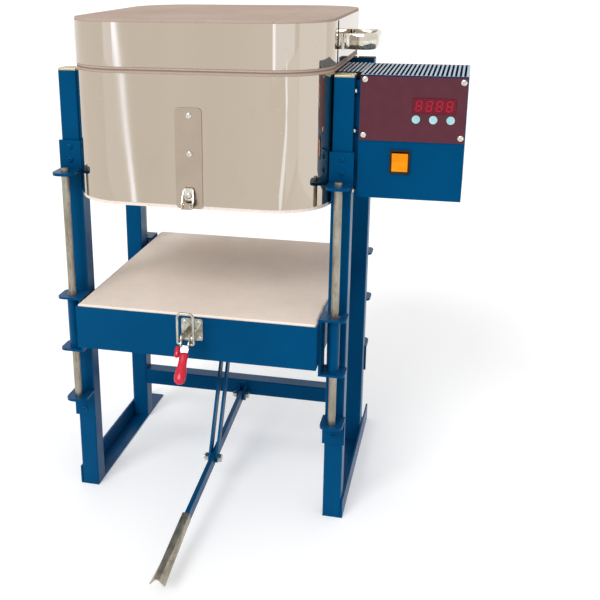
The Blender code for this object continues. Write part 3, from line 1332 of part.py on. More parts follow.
def main():
    clear_scene()
    part = Part()
    blue = finish("blue_paint", (0.005, 0.075, 0.19), 0.4, 0)
    vent_blue = finish("vent_paint", (0.02, 0.1, 0.2), 0.45, 0)
    stainless = finish("stainless_band", (0.62, 0.58, 0.53), 0.22, 1)
    polished = finish("polished_strap", (0.8, 0.78, 0.75), 0.12, 1)
    steel = finish("zinc_steel", (0.55, 0.53, 0.5), 0.3, 1)
    rod_steel = finish("rod_steel", (0.5, 0.48, 0.45), 0.3, 1)
    brick = finish("firebrick", (0.62, 0.47, 0.38), 0.95, 0)
    cream = finish("hearth_slab", (0.82, 0.7, 0.6), 0.95, 0)
    wire = finish("element_wire", (0.12, 0.11, 0.1), 0.6, 1)
    red = finish("red_grip", (0.62, 0.01, 0.04), 0.35, 0)
    zinc = finish("pedal_sheet", (0.42, 0.4, 0.35), 0.4, 1)
    maroon = finish("panel_maroon", (0.13, 0.03, 0.055), 0.5, 0)
    display = finish("display_red", (0.2, 0, 0.01), 0.15, 0)
    pale = finish("button_pale_blue", (0.5, 0.72, 0.75), 0.4, 0)
    black = finish("black_plastic", (0.02, 0.02, 0.02), 0.4, 0)
    amber = finish("amber_lens", (0.95, 0.35, 0.01), 0.25, 0)
    green = finish("circuit_green", (0.01, 0.12, 0.04), 0.5, 0)
    grey = finish("relay_grey", (0.3, 0.3, 0.3), 0.5, 0)

    add_base_rails(part, blue)
    add_posts(part, blue)
    add_cross_rail(part, blue)
    add_guide_rods(part, rod_steel)
    add_rod_brackets(part, blue)
    add_ring(part, stainless, brick)
    add_elements(part, wire, steel)
    add_catch(part, stainless)
    add_lid(part, stainless, brick, polished)
    add_hearth(part, blue, cream)
    add_guides(part, blue)
    add_latch(part, steel, red)
    add_lever_clevis(part, blue, steel)
    add_lever(part, blue, steel, zinc)
    add_link(part, blue, steel)
    add_hearth_clevis(part, blue)
    add_control_box(part, blue, vent_blue)
    add_duct(part, grey)
    add_panel(part, maroon, display, pale)
    add_switch(part, black, amber)
    add_box_contents(part, green, black, grey)


main()
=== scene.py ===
"""Looks of the glass kiln: materials for every CAD node, fasteners, heating coils, trim, light and camera.

Places are written in stand millimetres: X to the operator's right, Y to the back, Z up, with zero at the
middle of the four posts on the floor. place() turns them into the row frame. Lamps, the camera and the
levels in materials are in metres of the row frame.
"""

import math
import random

import bmesh
import bpy
from mathutils import Matrix, Vector


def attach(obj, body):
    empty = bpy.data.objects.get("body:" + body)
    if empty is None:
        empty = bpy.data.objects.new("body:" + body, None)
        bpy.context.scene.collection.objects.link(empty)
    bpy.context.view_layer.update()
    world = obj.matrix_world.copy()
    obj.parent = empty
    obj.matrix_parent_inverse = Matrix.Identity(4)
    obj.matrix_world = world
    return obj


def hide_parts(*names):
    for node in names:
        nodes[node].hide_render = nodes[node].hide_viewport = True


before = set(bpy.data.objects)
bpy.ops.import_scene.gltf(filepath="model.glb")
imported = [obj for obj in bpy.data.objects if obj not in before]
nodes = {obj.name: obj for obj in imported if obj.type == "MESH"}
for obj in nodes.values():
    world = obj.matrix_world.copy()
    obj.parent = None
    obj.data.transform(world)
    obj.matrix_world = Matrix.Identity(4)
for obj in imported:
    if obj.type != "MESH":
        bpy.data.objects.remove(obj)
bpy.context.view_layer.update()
random.seed(7)

MM = 0.001
QUARTER_TURN = math.radians(90)
STAND_MIDDLE = Vector((-72.775, 105.152, 0))
SIDES = (("left", -1), ("right", 1))
ENDS = (("front", -1), ("rear", 1))

# Places and sizes shared with the CAD model
POST_X = 226.375
POST_HALF = 15.875
POST_FACE_Y = 154
POST_TOP = 765.5
BRACKET_FACE_Y = 159.1
BRACKET_THICKNESS = 4.8
BRACKET_SCREW_LEVELS = {"upper": (619.6, 641.7), "lower": (178.4, 160.0)}
FLANGE_TOPS = {"upper": 604.8, "lower": 198.0}
ROD_X = 226.35
ROD_Y = 184.0
GUIDE_BUSH_SEATS = ((390.0, 1), (291.0, -1))
RING_HALF_WIDTH = 210.2
RING_HALF_DEPTH = 224
BAND_CORNER = 92
HANDLE_LEVEL = 810
HOOK_PIVOT = (0, -262, 352)
LATCH_LEAN = math.radians(-38)
ELEMENT_LEVELS = (622.0, 712.0)
ELEMENT_HALF_WIDTH = 149.6
ELEMENT_HALF_DEPTH = 163.4
ELEMENT_CORNER = 33.5
ELEMENT_TAIL_Y = -80
DISPLAY_MIDDLE_LEVEL = 726
BUTTON_MIDDLES = (335.5, 361.0, 386.5)
BUTTON_LEVEL = 705.5
PANEL_FACE_Y = -150.0


def place(x, y, z):
    """A point in stand millimetres as a point of the row frame in metres."""
    return (Vector((x, y, z)) + STAND_MIDDLE) * MM


def stand_corners():
    """Name and direction of each post: side, left or right, and end, front or rear."""
    for side_name, side in SIDES:
        for end_name, end in ENDS:
            yield f"{end_name}_{side_name}", side, end


# Colour and node materials

def linear(red, green, blue):
    """An sRGB colour of 0 to 255 as the linear colour that Blender takes."""
    channels = []
    for value in (red, green, blue):
        share = value / 255
        channels.append(share / 12.92 if share <= 0.04045 else ((share + 0.055) / 1.055) ** 2.4)
    return (*channels, 1.0)


class Look:
    """A Principled material whose colour, roughness and normal come from procedural nodes."""

    def __init__(self, name, metallic=0.0):
        self.material = bpy.data.materials.new(name)
        self.material.use_nodes = True
        self.tree = self.material.node_tree
        self.shader = self.tree.nodes["Principled BSDF"]
        self.shader.inputs["Metallic"].default_value = metallic
        self.points = self.tree.nodes.new("ShaderNodeTexCoord").outputs["Object"]
        self.normal = None

    def node(self, kind, **values):
        made = self.tree.nodes.new(kind)
        for key, value in values.items():
            setattr(made, key, value)
        return made

    def link(self, start, end):
        self.tree.links.new(start, end)

    def scaled(self, stretch):
        """The object's own coordinates, stretched along its axes."""
        mapping = self.node("ShaderNodeMapping")
        mapping.inputs["Scale"].default_value = stretch
        self.link(self.points, mapping.inputs["Vector"])
        return mapping.outputs["Vector"]

    def noise(self, scale, detail=4.0, rough=0.55, stretch=(1, 1, 1), distortion=0.0):
        """A noise value between 0 and 1 over the object; scale is in waves per metre."""
        noise = self.node("ShaderNodeTexNoise")
        noise.inputs["Scale"].default_value = scale
        noise.inputs["Detail"].default_value = detail
        noise.inputs["Roughness"].default_value = rough
        noise.inputs["Distortion"].default_value = distortion
        self.link(self.scaled(stretch), noise.inputs["Vector"])
        return noise.outputs["Fac"]

    def cells(self, scale):
        """Distance to the nearest random cell point; scale is in cells per metre."""
        cells = self.node("ShaderNodeTexVoronoi", feature="F1")
        cells.inputs["Scale"].default_value = scale
        self.link(self.points, cells.inputs["Vector"])
        return cells.outputs["Distance"]

    def ranged(self, value, low, high, to_low=0.0, to_high=1.0):
        """value between low and high, mapped to between to_low and to_high."""
        ranged = self.node("ShaderNodeMapRange")
        ranged.inputs["From Min"].default_value = low
        ranged.inputs["From Max"].default_value = high
        ranged.inputs["To Min"].default_value = to_low
        ranged.inputs["To Max"].default_value = to_high
        self.link(value, ranged.inputs["Value"])
        return ranged.outputs["Result"]

    def calc(self, operation, *values):
        """The result of a math operation on numbers or sockets."""
        made = self.node("ShaderNodeMath", operation=operation)
        for value, socket in zip(values, made.inputs):
            if isinstance(value, (int, float)):
                socket.default_value = value
            else:
                self.link(value, socket)
        return made.outputs["Value"]

    def split(self, vector, axis):
        """One axis of a vector socket."""
        split = self.node("ShaderNodeSeparateXYZ")
        self.link(vector, split.inputs["Vector"])
        return split.outputs[axis]

    def along(self, axis):
        """One of the object's own coordinates, in metres."""
        return self.split(self.points, axis)

    def faced(self):
        """The direction that the mesh faces, without smoothing."""
        return self.node("ShaderNodeNewGeometry").outputs["True Normal"]

    def round_corners(self, half_width, half_depth, corner):
        """Starts the relief from the true outward direction of a band round a rounded rectangle."""
        combined = self.node("ShaderNodeCombineXYZ")
        for axis, middle, half in (("X", STAND_MIDDLE.x, half_width), ("Y", STAND_MIDDLE.y, half_depth)):
            from_middle = self.calc("SUBTRACT", self.along(axis), middle * MM)
            past_flat = self.calc("SUBTRACT", self.calc("ABSOLUTE", from_middle), (half - corner) * MM)
            past_flat = self.calc("MAXIMUM", past_flat, 0.0)
            signed = self.calc("MULTIPLY", past_flat, self.calc("SIGN", from_middle))
            self.link(signed, combined.inputs[axis])
        outward = self.node("ShaderNodeVectorMath", operation="NORMALIZE")
        self.link(combined.outputs["Vector"], outward.inputs[0])
        faced = self.faced()
        upright = self.calc("LESS_THAN", self.calc("ABSOLUTE", self.split(faced, "Z")), 0.5)
        self.normal = self.mix(upright, faced, outward.outputs["Vector"], kind="VECTOR")

    def mix(self, share, first, second, kind="RGBA"):
        """first where share is 0 and second where it is 1, for colours, colour sockets or vector sockets."""
        mix = self.node("ShaderNodeMix", data_type=kind)
        self.link(share, mix.inputs["Factor"])
        for value, socket in zip((first, second), (mix.inputs["A"], mix.inputs["B"])):
            if isinstance(value, tuple):
                socket.default_value = value
            else:
                self.link(value, socket)
        return mix.outputs["Result"]

    def bump(self, height, distance, strength=1.0):
        """Adds relief of that height in metres on top of any relief before it."""
        bump = self.node("ShaderNodeBump")
        bump.inputs["Distance"].default_value = distance
        bump.inputs["Strength"].default_value = strength
        self.link(height, bump.inputs["Height"])
        if self.normal:
            self.link(self.normal, bump.inputs["Normal"])
        self.normal = bump.outputs["Normal"]

    def finish(self, colour, roughness):
        """Sets the shader and returns the material."""
        self.link(colour, self.shader.inputs["Base Color"])
        self.link(roughness, self.shader.inputs["Roughness"])
        if self.normal:
            self.link(self.normal, self.shader.inputs["Normal"])
        return self.material


def paint_look(name, light, dark, rough=(0.28, 0.42), worn=(40, 100, 136), wear_share=0.03, edges=None):
    """Sprayed enamel with a faint orange peel, uneven gloss and small scuffs.

    Where edges is given, it is a painted shade: the colour of all faces but the upper ones, whose own colour
    then stands as a painted sheen on top.
    """
    look = Look(name)
    colour = look.mix(look.ranged(look.noise(7, detail=3), 0.35, 0.68), linear(*dark), linear(*light))
    scuffs = look.noise(150, detail=6, rough=0.7, stretch=(1, 1, 0.35))
    colour = look.mix(look.ranged(scuffs, 0.74 - wear_share, 0.79, 0, 0.55), colour, linear(*worn))
    if edges:
        # Painted shade on all but the upper faces, and painted sheen on the upper ones, chosen by the way
        # each face points
        colour = look.mix(look.split(look.faced(), "Z"), linear(*edges), colour)
    look.bump(look.noise(620, detail=2), 0.00006)
    look.bump(look.noise(40, detail=2), 0.00025)
    look.shader.inputs["Specular IOR Level"].default_value = 0.3
    look.shader.inputs["Specular Tint"].default_value = (0.04, 0.42, 0.85, 1.0)
    return look.finish(colour, look.ranged(look.noise(18), 0.3, 0.7, *rough))


def metal_look(name, light, dark, rough=(0.2, 0.34), stretch=(1, 1, 1), patch=30, relief=0.00003,
               stain=None, stain_share=0.12):
    """Bare or plated metal with uneven colour, fine grain and stains."""
    look = Look(name, metallic=1.0)
    patches = look.ranged(look.noise(patch, stretch=stretch), 0.34, 0.68)
    colour = look.mix(patches, linear(*dark), linear(*light))
    if stain:
        marks = look.noise(patch * 3.4, detail=7, rough=0.7, stretch=stretch)
        colour = look.mix(look.ranged(marks, 0.66 - stain_share, 0.72, 0, 0.8), colour, linear(*stain))
    look.bump(look.noise(700, detail=3, stretch=stretch), relief)
    return look.finish(colour, look.ranged(look.noise(patch * 2, stretch=stretch), 0.3, 0.7, *rough))


def band_look():
    """Bright-rolled stainless sheet: soft upright waviness, faint rolling marks, wipe and finger marks."""
    look = Look("bright stainless sheet", metallic=1.0)
    look.round_corners(RING_HALF_WIDTH, RING_HALF_DEPTH, BAND_CORNER)
    streaks = look.noise(9, detail=2, stretch=(1, 1, 0.05))
    colour = look.mix(look.ranged(streaks, 0.3, 0.7), linear(182, 169, 152), linear(188, 175, 159))
    smears = look.noise(12, detail=5, rough=0.65, stretch=(1, 1, 0.5), distortion=0.6)
    colour = look.mix(look.ranged(smears, 0.56, 0.75, 0, 0.35), colour, linear(174, 158, 142))
    spots = look.noise(160, detail=3, rough=0.5)
    colour = look.mix(look.ranged(spots, 0.7, 0.76, 0, 0.5), colour, linear(206, 196, 182))
    look.bump(look.noise(5, detail=0, stretch=(1, 1, 0.8)), 0.0008)
    look.bump(look.noise(420, detail=2, stretch=(1, 1, 0.05)), 0.0000008)
    rough = look.ranged(look.noise(9, detail=4, stretch=(1, 1, 0.4)), 0.3, 0.7, 0.03, 0.06)
    return look.finish(colour, rough)


def brick_finish(look, colour, pores, fine):
    """Open pores and a sanded grain, with next to no gloss."""
    look.bump(pores, 0.0004, 0.8)
    look.bump(fine, 0.0003, 0.6)
    look.shader.inputs["Specular IOR Level"].default_value = 0.2
    return look.finish(colour, look.ranged(look.noise(60), 0.3, 0.7, 0.86, 0.98))


def brick_look(name, light, dark, deep, joint=None):
    """Soft insulating firebrick with faint firing stains and painted shade in its pores; joint is the pitch
    and width of cemented joints.
    """
    look = Look(name)
    colour = look.mix(look.ranged(look.noise(9, detail=5), 0.32, 0.7), linear(*dark), linear(*light))
    fine = look.noise(260, detail=6, rough=0.75)
    colour = look.mix(look.ranged(fine, 0.5, 0.78, 0, 0.5), colour, linear(*deep))
    pores = look.ranged(look.cells(420), 0.04, 0.24)
    # Painted shade in the pores: darker towards each pore's middle
    colour = look.mix(look.ranged(pores, 0, 0.6, 0.45, 0), colour, linear(*deep))
    if joint:
        pitch, width = joint
        for axis, offset in (("X", 10.5), ("Y", 10.35)):
            shifted = look.calc("ADD", look.along(axis), offset * pitch)
            from_joint = look.calc("PINGPONG", shifted, pitch / 2)
            colour = look.mix(look.ranged(from_joint, width / 2, width, 0.35, 0), colour, linear(*deep))
            look.bump(look.ranged(from_joint, width / 2, width), 0.0003)
    return brick_finish(look, colour, pores, fine)


def ring_brick_painted_light_and_shade_look():
    """The ring's firebrick, paler towards its bottom edge as painted light, and darker at the seam under the
    lid as painted shade.
    """
    look = Look("firebrick of the ring, painted light and shade")
    level = look.along("Z")
    # Painted light: paler towards the bottom edge under the band
    colour = look.mix(look.ranged(level, 0.572, 0.6), linear(250, 236, 224), linear(190, 170, 156))
    colour = look.mix(look.ranged(look.noise(9, detail=5), 0.32, 0.7, 0.12, 0), colour, linear(160, 136, 120))
    fine = look.noise(260, detail=6, rough=0.75)
    colour = look.mix(look.ranged(fine, 0.5, 0.78, 0, 0.4), colour, linear(164, 138, 120))
    # Painted shade: a dark line at the seam under the lid
    colour = look.mix(look.ranged(level, 0.7752, 0.7768, 0, 0.75), colour, linear(120, 96, 80))
    pores = look.ranged(look.cells(420), 0.04, 0.24)
    return brick_finish(look, colour, pores, fine)


def plastic_look(name, light, dark, rough=(0.3, 0.42), glow=0.0, gloss=0.25):
    """Moulded plastic with a fine spark-eroded grain; glow adds a share of its own light."""
    look = Look(name)
    colour = look.mix(look.ranged(look.noise(60, detail=4), 0.35, 0.7), linear(*dark), linear(*light))
    look.bump(look.noise(1400, detail=2), 0.00002)
    look.shader.inputs["Specular IOR Level"].default_value = gloss
    if glow:
        look.link(colour, look.shader.inputs["Emission Color"])
        look.shader.inputs["Emission Strength"].default_value = glow
    return look.finish(colour, look.ranged(look.noise(90), 0.3, 0.7, *rough))


# Looks of the CAD materials, by their names
LOOKS = {
    "blue_paint": paint_look("blue enamel", (0, 72, 116), (0, 65, 107)),
    # The vent's blue paint, with pale grey upper faces as a painted sheen and navy other faces as painted
    # shade
    "vent_paint": paint_look("paint of the vent, painted sheen and shade", (172, 182, 194), (152, 164, 180), wear_share=0.02,
                             edges=(0, 50, 84)),
    "stainless_band": band_look(),
    "polished_strap": metal_look("polished strap", (226, 220, 208), (204, 197, 183), rough=(0.08, 0.16),
                                 patch=18, relief=0.00001, stain=(150, 140, 126), stain_share=0.04),
    "zinc_steel": metal_look("zinc plate", (206, 203, 190), (166, 164, 152), rough=(0.24, 0.4), patch=120,
                             stain=(126, 112, 84), stain_share=0.08),
    "rod_steel": metal_look("guide rod steel", (176, 170, 156), (138, 132, 118), rough=(0.3, 0.5),
                            stretch=(1, 1, 0.3), patch=60, stain=(112, 88, 58), stain_share=0.14),
    "firebrick": brick_look("firebrick", (196, 176, 163), (184, 162, 148), (160, 136, 120),
                            joint=(0.1147, 0.0007)),
    "hearth_slab": brick_look("hearth slab", (250, 238, 226), (242, 226, 212), (222, 198, 178)),
    "element_wire": metal_look("element wire", (96, 88, 80), (58, 52, 48), rough=(0.5, 0.7), patch=200,
                               stain=(120, 96, 70)),
    "red_grip": plastic_look("red dipped grip", (214, 14, 52), (192, 8, 42), rough=(0.16, 0.28), gloss=0.4),
    "pedal_sheet": metal_look("pedal sheet", (198, 186, 164), (152, 146, 130), rough=(0.34, 0.52), patch=70,
                              stretch=(1, 0.3, 1), stain=(92, 88, 66), stain_share=0.16),
    "panel_maroon": plastic_look("maroon overlay", (90, 38, 52), (84, 34, 48), rough=(0.42, 0.5)),
    "display_red": plastic_look("display filter", (112, 0, 26), (100, 0, 22), rough=(0.12, 0.2), glow=0.05),
    "button_pale_blue": plastic_look("pale blue button", (196, 224, 226), (150, 204, 210), rough=(0.3, 0.4)),
    "black_plastic": plastic_look("black plastic", (40, 34, 32), (22, 18, 18)),
    "amber_lens": plastic_look("amber lens", (238, 148, 0), (232, 136, 0), rough=(0.2, 0.3), glow=0.15,
                               gloss=0.15),
    "circuit_green": plastic_look("circuit board", (22, 92, 50), (10, 64, 36)),
    "relay_grey": plastic_look("grey moulding", (96, 98, 104), (70, 72, 78), rough=(0.45, 0.6)),
}

# Looks of the pieces that only the scene has, and of three nodes that differ from their CAD material
LOOKS |= {
    "screw": metal_look("bright screw", (232, 228, 218), (190, 186, 176), rough=(0.12, 0.24), patch=300),
    "blue_screw": paint_look("painted screw", (6, 96, 146), (2, 70, 116), worn=(150, 170, 184),
                             wear_share=0.07),
    "cap": metal_look("post cap", (206, 198, 168), (180, 172, 144), rough=(0.3, 0.46), patch=90,
                      stain=(150, 132, 98)),
    "bronze": metal_look("bronze bush", (176, 132, 82), (134, 96, 58), rough=(0.3, 0.44), patch=160),
    "weld": paint_look("painted weld", (4, 78, 122), (0, 52, 92), rough=(0.2, 0.36)),
    "segment": plastic_look("display segment", (186, 12, 56), (166, 6, 46), rough=(0.2, 0.3), glow=0.12),
    # Near-black, used as painted shade: in the band's seam, on the wiring duct and on the rear post caps
    "dark": plastic_look("near-black painted shade", (28, 26, 28), (14, 13, 15), rough=(0.6, 0.8)),
    "catch": metal_look("catch plate steel", (176, 161, 145), (170, 155, 139), rough=(0.2, 0.28), patch=26,
                        relief=0.00001),
    "ring_brick": ring_brick_painted_light_and_shade_look(),
}
# The wiring duct takes the near-black look as painted shade in the gaps beside the ring and between the
# slats, and the ring's bricks take painted light and shade
NODE_LOOKS = {"wiring_duct": "dark", "ring_bricks": "ring_brick", "catch_plate": "catch"}

for name, node in nodes.items():
    for index, material in enumerate(node.data.materials):
        node.data.materials[index] = LOOKS[NODE_LOOKS.get(name, material.name.split(".")[0])]

rounded_edge = nodes["catch_plate"].modifiers.new("edge", "BEVEL")
rounded_edge.width = 0.6 * MM
rounded_edge.segments = 3
rounded_edge.limit_method = "ANGLE"


# Building pieces

def piece(name, mesh, look, body, smooth=True):
    """A named piece from a bmesh in stand millimetres, riding on a body."""
    for vertex in mesh.verts:
        vertex.co = place(*vertex.co)
    bmesh.ops.recalc_face_normals(mesh, faces=mesh.faces)
    data = bpy.data.meshes.new(name)
    mesh.to_mesh(data)
    mesh.free()
    if smooth:
        data.shade_smooth()
        data.set_sharp_from_angle(angle=math.radians(38))
    data.materials.append(LOOKS[look])
    made = bpy.data.objects.new(name, data)
    bpy.context.scene.collection.objects.link(made)
    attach(made, body)
    return made


def skin(mesh, rings, closed=False):
    """Joins rings of as many vertices each into a tube, with flat ends where it isn't closed on itself."""
    pairs = list(zip(rings, rings[1:])) + ([(rings[-1], rings[0])] if closed else [])
    count = len(rings[0])
    for lower, upper in pairs:
        for step in range(count):
            after = (step + 1) % count
            mesh.faces.new((lower[step], lower[after], upper[after], upper[step]))
    if not closed:
        mesh.faces.new(rings[0])
        mesh.faces.new(rings[-1])


def oval(half_width, half_depth, sides, width_power=1.0, depth_power=1.0):
    """Points round an ellipse, which grows squarer along an axis as its power falls below 1."""
    points = []
    for step in range(sides):
        angle = math.tau * step / sides
        across, deep = math.cos(angle), math.sin(angle)
        points.append((half_width * math.copysign(abs(across) ** width_power, across),
                       half_depth * math.copysign(abs(deep) ** depth_power, deep)))
    return points


def lathe(mesh, profile, at, normal=(0, 0, 1), sides=24, turn=0.0):
    """Adds a turned shape that faces a direction; profile is radius and height from the seat outward."""
    turned = Vector((0, 0, 1)).rotation_difference(Vector(normal).normalized()).to_matrix().to_4x4()
    matrix = Matrix.Translation(Vector(at)) @ turned
    rings = []
    for radius, height in profile:
        if radius == 0:
            rings.append([mesh.verts.new(matrix @ Vector((0, 0, height)))])
            continue
        ring = []
        for index in range(sides):
            angle = turn + math.tau * index / sides
            spot = Vector((radius * math.cos(angle), radius * math.sin(angle), height))
            ring.append(mesh.verts.new(matrix @ spot))
        rings.append(ring)
    for lower, upper in zip(rings, rings[1:]):
        for index in range(sides):
            after = (index + 1) % sides
            corners = [lower[index % len(lower)], lower[after % len(lower)],
                       upper[after % len(upper)], upper[index % len(upper)]]
            mesh.faces.new(list(dict.fromkeys(corners)))
    for ring in (rings[0], rings[-1]):
        if len(ring) > 1:
            mesh.faces.new(ring)


def block(mesh, low, high, bevel):
    """Adds a box between two corners, with bevelled edges."""
    made = bmesh.ops.create_cube(mesh, size=1)["verts"]
    middle = (Vector(low) + Vector(high)) / 2
    size = Vector(high) - Vector(low)
    for vertex in made:
        vertex.co = Vector([share * length for share, length in zip(vertex.co, size)]) + middle
    edges = list({edge for vertex in made for edge in vertex.link_edges})
    bmesh.ops.bevel(mesh, geom=edges, offset=bevel, segments=2, affect="EDGES", profile=0.5)


def tube(mesh, points, radius, sides=8, closed=False):
    """Adds a round wire along points."""
    rings = []
    count = len(points)
    side = None
    for index, point in enumerate(points):
        before = points[index - 1] if index or closed else point
        after = points[(index + 1) % count] if index + 1 < count or closed else point
        ahead = (Vector(after) - Vector(before)).normalized()
        side = ahead.orthogonal() if side is None else side - ahead * side.dot(ahead)
        side.normalize()
        across = ahead.cross(side)
        ring = []
        for step in range(sides):
            angle = math.tau * step / sides
            out = math.cos(angle) * side + math.sin(angle) * across
            ring.append(mesh.verts.new(Vector(point) + radius * out))
        rings.append(ring)
    skin(mesh, rings, closed)


def ribbon(mesh, points, normal, widths, thickness):
    """Adds a bent strip along points in its middle plane; a width for each point, thickness along normal."""
    soft = 0.72
    section = ((1, -soft), (1, soft), (soft, 1), (-soft, 1), (-1, soft), (-1, -soft), (-soft, -1), (soft, -1))
    rings = []
    for index, (point, width) in enumerate(zip(points, widths)):
        before = Vector(points[max(index - 1, 0)])
        after = Vector(points[min(index + 1, len(points) - 1)])
        ahead = (after - before).normalized()
        out = Vector(normal)
        out = (out - ahead * out.dot(ahead)).normalized()
        half = ahead.cross(out) * width / 2
        rise = out * thickness / 2
        rings.append([mesh.verts.new(Vector(point) + half * x + rise * y) for x, y in section])
    skin(mesh, rings)


def dipped(name, matrix, profile):
    """A soft-edged handle; profile is level, half width and half depth down the handle."""
    mesh = bmesh.new()
    rings = []
    for level, half_width, half_depth in profile:
        outline = oval(half_width, half_depth, 24, 0.85, 0.85)
        rings.append([mesh.verts.new(matrix @ Vector((x, y, level))) for x, y in outline])
    skin(mesh, rings)
    return piece(name, mesh, "red_grip", "latch_handle")


def dome_screw(mesh, at, normal, radius, height):
    """A pan-head screw with a small dimple for its cross recess."""
    slot = 0.34
    shares = ((1, 0), (1, 0.25), (0.93, 0.62), (0.72, 0.9), (slot, 1), (slot * 0.7, 0.45), (0, 0.3))
    lathe(mesh, [(radius * wide, height * high) for wide, high in shares], at, normal)


def socket_screw(mesh, at, normal, radius, height):
    """A button-head screw with a socket."""
    shares = ((1, 0), (1, 0.3), (0.86, 0.72), (0.62, 1), (0.5, 1), (0.48, 0.35), (0, 0.3))
    lathe(mesh, [(radius * wide, height * high) for wide, high in shares], at, normal)


def hex_head(mesh, at, normal, radius, height):
    """A hexagon head with chamfered corners."""
    shares = ((0.96, 0), (1, 0.12), (1, 0.8), (0.9, 1), (0, 1))
    profile = [(radius * wide, height * high) for wide, high in shares]
    lathe(mesh, profile, at, normal, sides=6, turn=math.pi / 6)


# Screws and weld beads of the rod brackets

BEAD_STEPS = 15
BEAD_HALF_LENGTH = 15.5
BEAD_RADIUS = 1.5
BEAD_LUMP_RADIUS = 2.1
BEAD_STAND_OFF = 0.9

for corner_name, side, end in stand_corners():
    for level_name, levels in BRACKET_SCREW_LEVELS.items():
        screws = bmesh.new()
        for level in levels:
            seat = (side * POST_X, end * (BRACKET_FACE_Y - 0.1), level)
            socket_screw(screws, seat, (0, end, 0), 4.6, 3.2)
        piece(f"bracket_screws_{level_name}_{corner_name}", screws, "blue_screw", "frame")

        away = 1 if level_name == "upper" else -1
        corner_level = FLANGE_TOPS[level_name] + BEAD_STAND_OFF
        if away < 0:
            corner_level = FLANGE_TOPS[level_name] - BRACKET_THICKNESS - BEAD_STAND_OFF
        points = []
        for step in range(BEAD_STEPS + 1):
            across = -BEAD_HALF_LENGTH + 2 * BEAD_HALF_LENGTH * step / BEAD_STEPS
            wobble = random.uniform(-0.45, 0.45)
            points.append((side * POST_X + across, end * (BRACKET_FACE_Y + BEAD_STAND_OFF + 0.6 * wobble),
                           corner_level + away * wobble))
        beads = bmesh.new()
        tube(beads, points, BEAD_RADIUS, sides=7)
        for point in points[:-1]:
            radius = random.uniform(BEAD_RADIUS, BEAD_LUMP_RADIUS)
            lump = bmesh.ops.create_icosphere(beads, subdivisions=1, radius=radius)["verts"]
            bmesh.ops.translate(beads, verts=lump, vec=point)
        piece(f"bracket_weld_{level_name}_{corner_name}", beads, "weld", "frame")

# Caps of the posts: bare steel in front, thin and near-black behind as painted shade

CAP_HALF = POST_HALF - 0.4
CAP_SINK = 0.1

for corner_name, side, end in stand_corners():
    # The rear caps take the near-black look as painted shade
    rise, bevel, look = (3.9, 0.9, "cap") if end < 0 else (1.2, 0.4, "dark")
    middle_x = side * POST_X
    middle_y = end * (POST_FACE_Y - POST_HALF)
    cap = bmesh.new()
    block(cap, (middle_x - CAP_HALF, middle_y - CAP_HALF, POST_TOP - CAP_SINK),
          (middle_x + CAP_HALF, middle_y + CAP_HALF, POST_TOP + rise), bevel)
    piece(f"post_cap_{corner_name}", cap, look, "frame")

# Pan-head screws: a place for each, then the direction, radius and height that they share

KEEPER_SCREW = (0, -229.6, 587.5)
SCREW_SETS = {
    "catch_screws": ("frame", [(1.4, -225.8, 711.5), (1.4, -225.8, 652.5)], (0, -1, 0), 4.8, 2.6),
    "latch_screws": ("hearth", [(-12.2, -226.2, 350), (-12.2, -226.2, 376), (12.2, -226.2, 350),
                                (12.2, -226.2, 376)], (0, -1, 0), 3.9, 2.4),
    "panel_screws": ("frame", [(257.2, -149.8, 763.4), (402.4, -149.8, 761.6), (402.4, -149.8, 679),
                               (257.2, -149.8, 679)], (0, -1, 0), 4.9, 2.8),
    "box_mount_screws": ("frame", [(243.4, -146.0, 745), (243.4, -146.0, 684), (243.4, -146.0, 590)],
                         (1, -0.5, 0), 3.6, 3.0),
    "handle_screws_left": ("lid", [(-212.5, -57.5, HANDLE_LEVEL), (-212.5, 57.5, HANDLE_LEVEL)],
                           (-1, 0, 0), 4.4, 2.4),
    "handle_screws_right": ("lid", [(212.5, -57.5, HANDLE_LEVEL), (212.5, 57.5, HANDLE_LEVEL)],
                            (1, 0, 0), 4.4, 2.4),
}

for name, (body, seats, normal, radius, height) in SCREW_SETS.items():
    screws = bmesh.new()
    for seat in seats:
        dome_screw(screws, seat, normal, radius, height)
    if name == "catch_screws":
        dome_screw(screws, KEEPER_SCREW, normal, 5.0, 2.8)
    piece(name, screws, "screw", body)

# Dipped grip of the latch, and the short dipped tail beside it

LATCH_HANG = Matrix.Translation(HOOK_PIVOT) @ Matrix.Rotation(LATCH_LEAN, 4, "X")
GRIP_PROFILE = [
    (-14.5, 4.6, 3.0), (-15.0, 6.6, 4.4), (-16.2, 7.4, 5.2), (-20, 7.2, 5.3), (-28, 6.6, 5.3),
    (-36, 7.2, 5.8), (-44, 8.6, 6.5), (-52, 9.5, 7.0), (-58, 9.2, 6.9), (-62, 7.8, 6.0),
    (-64.4, 5.6, 4.4), (-65.6, 2.8, 2.2)]
TRIGGER_OFFSET = (-12.4, 2.3, 0)
TRIGGER_PROFILE = [
    (-4.6, 1.8, 1.4), (-5.2, 3.2, 2.6), (-7, 4.0, 3.2), (-12, 4.2, 3.4), (-17, 4.4, 3.5),
    (-20.5, 3.8, 3.0), (-22.4, 2.4, 1.9), (-23.0, 1.2, 1.0)]

grip = dipped("latch_grip_dipped", LATCH_HANG, GRIP_PROFILE)
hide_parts("latch_grip")
dipped("latch_trigger", LATCH_HANG @ Matrix.Translation(TRIGGER_OFFSET), TRIGGER_PROFILE)

# Display digits: four figures with all seven bars, which lean to the right

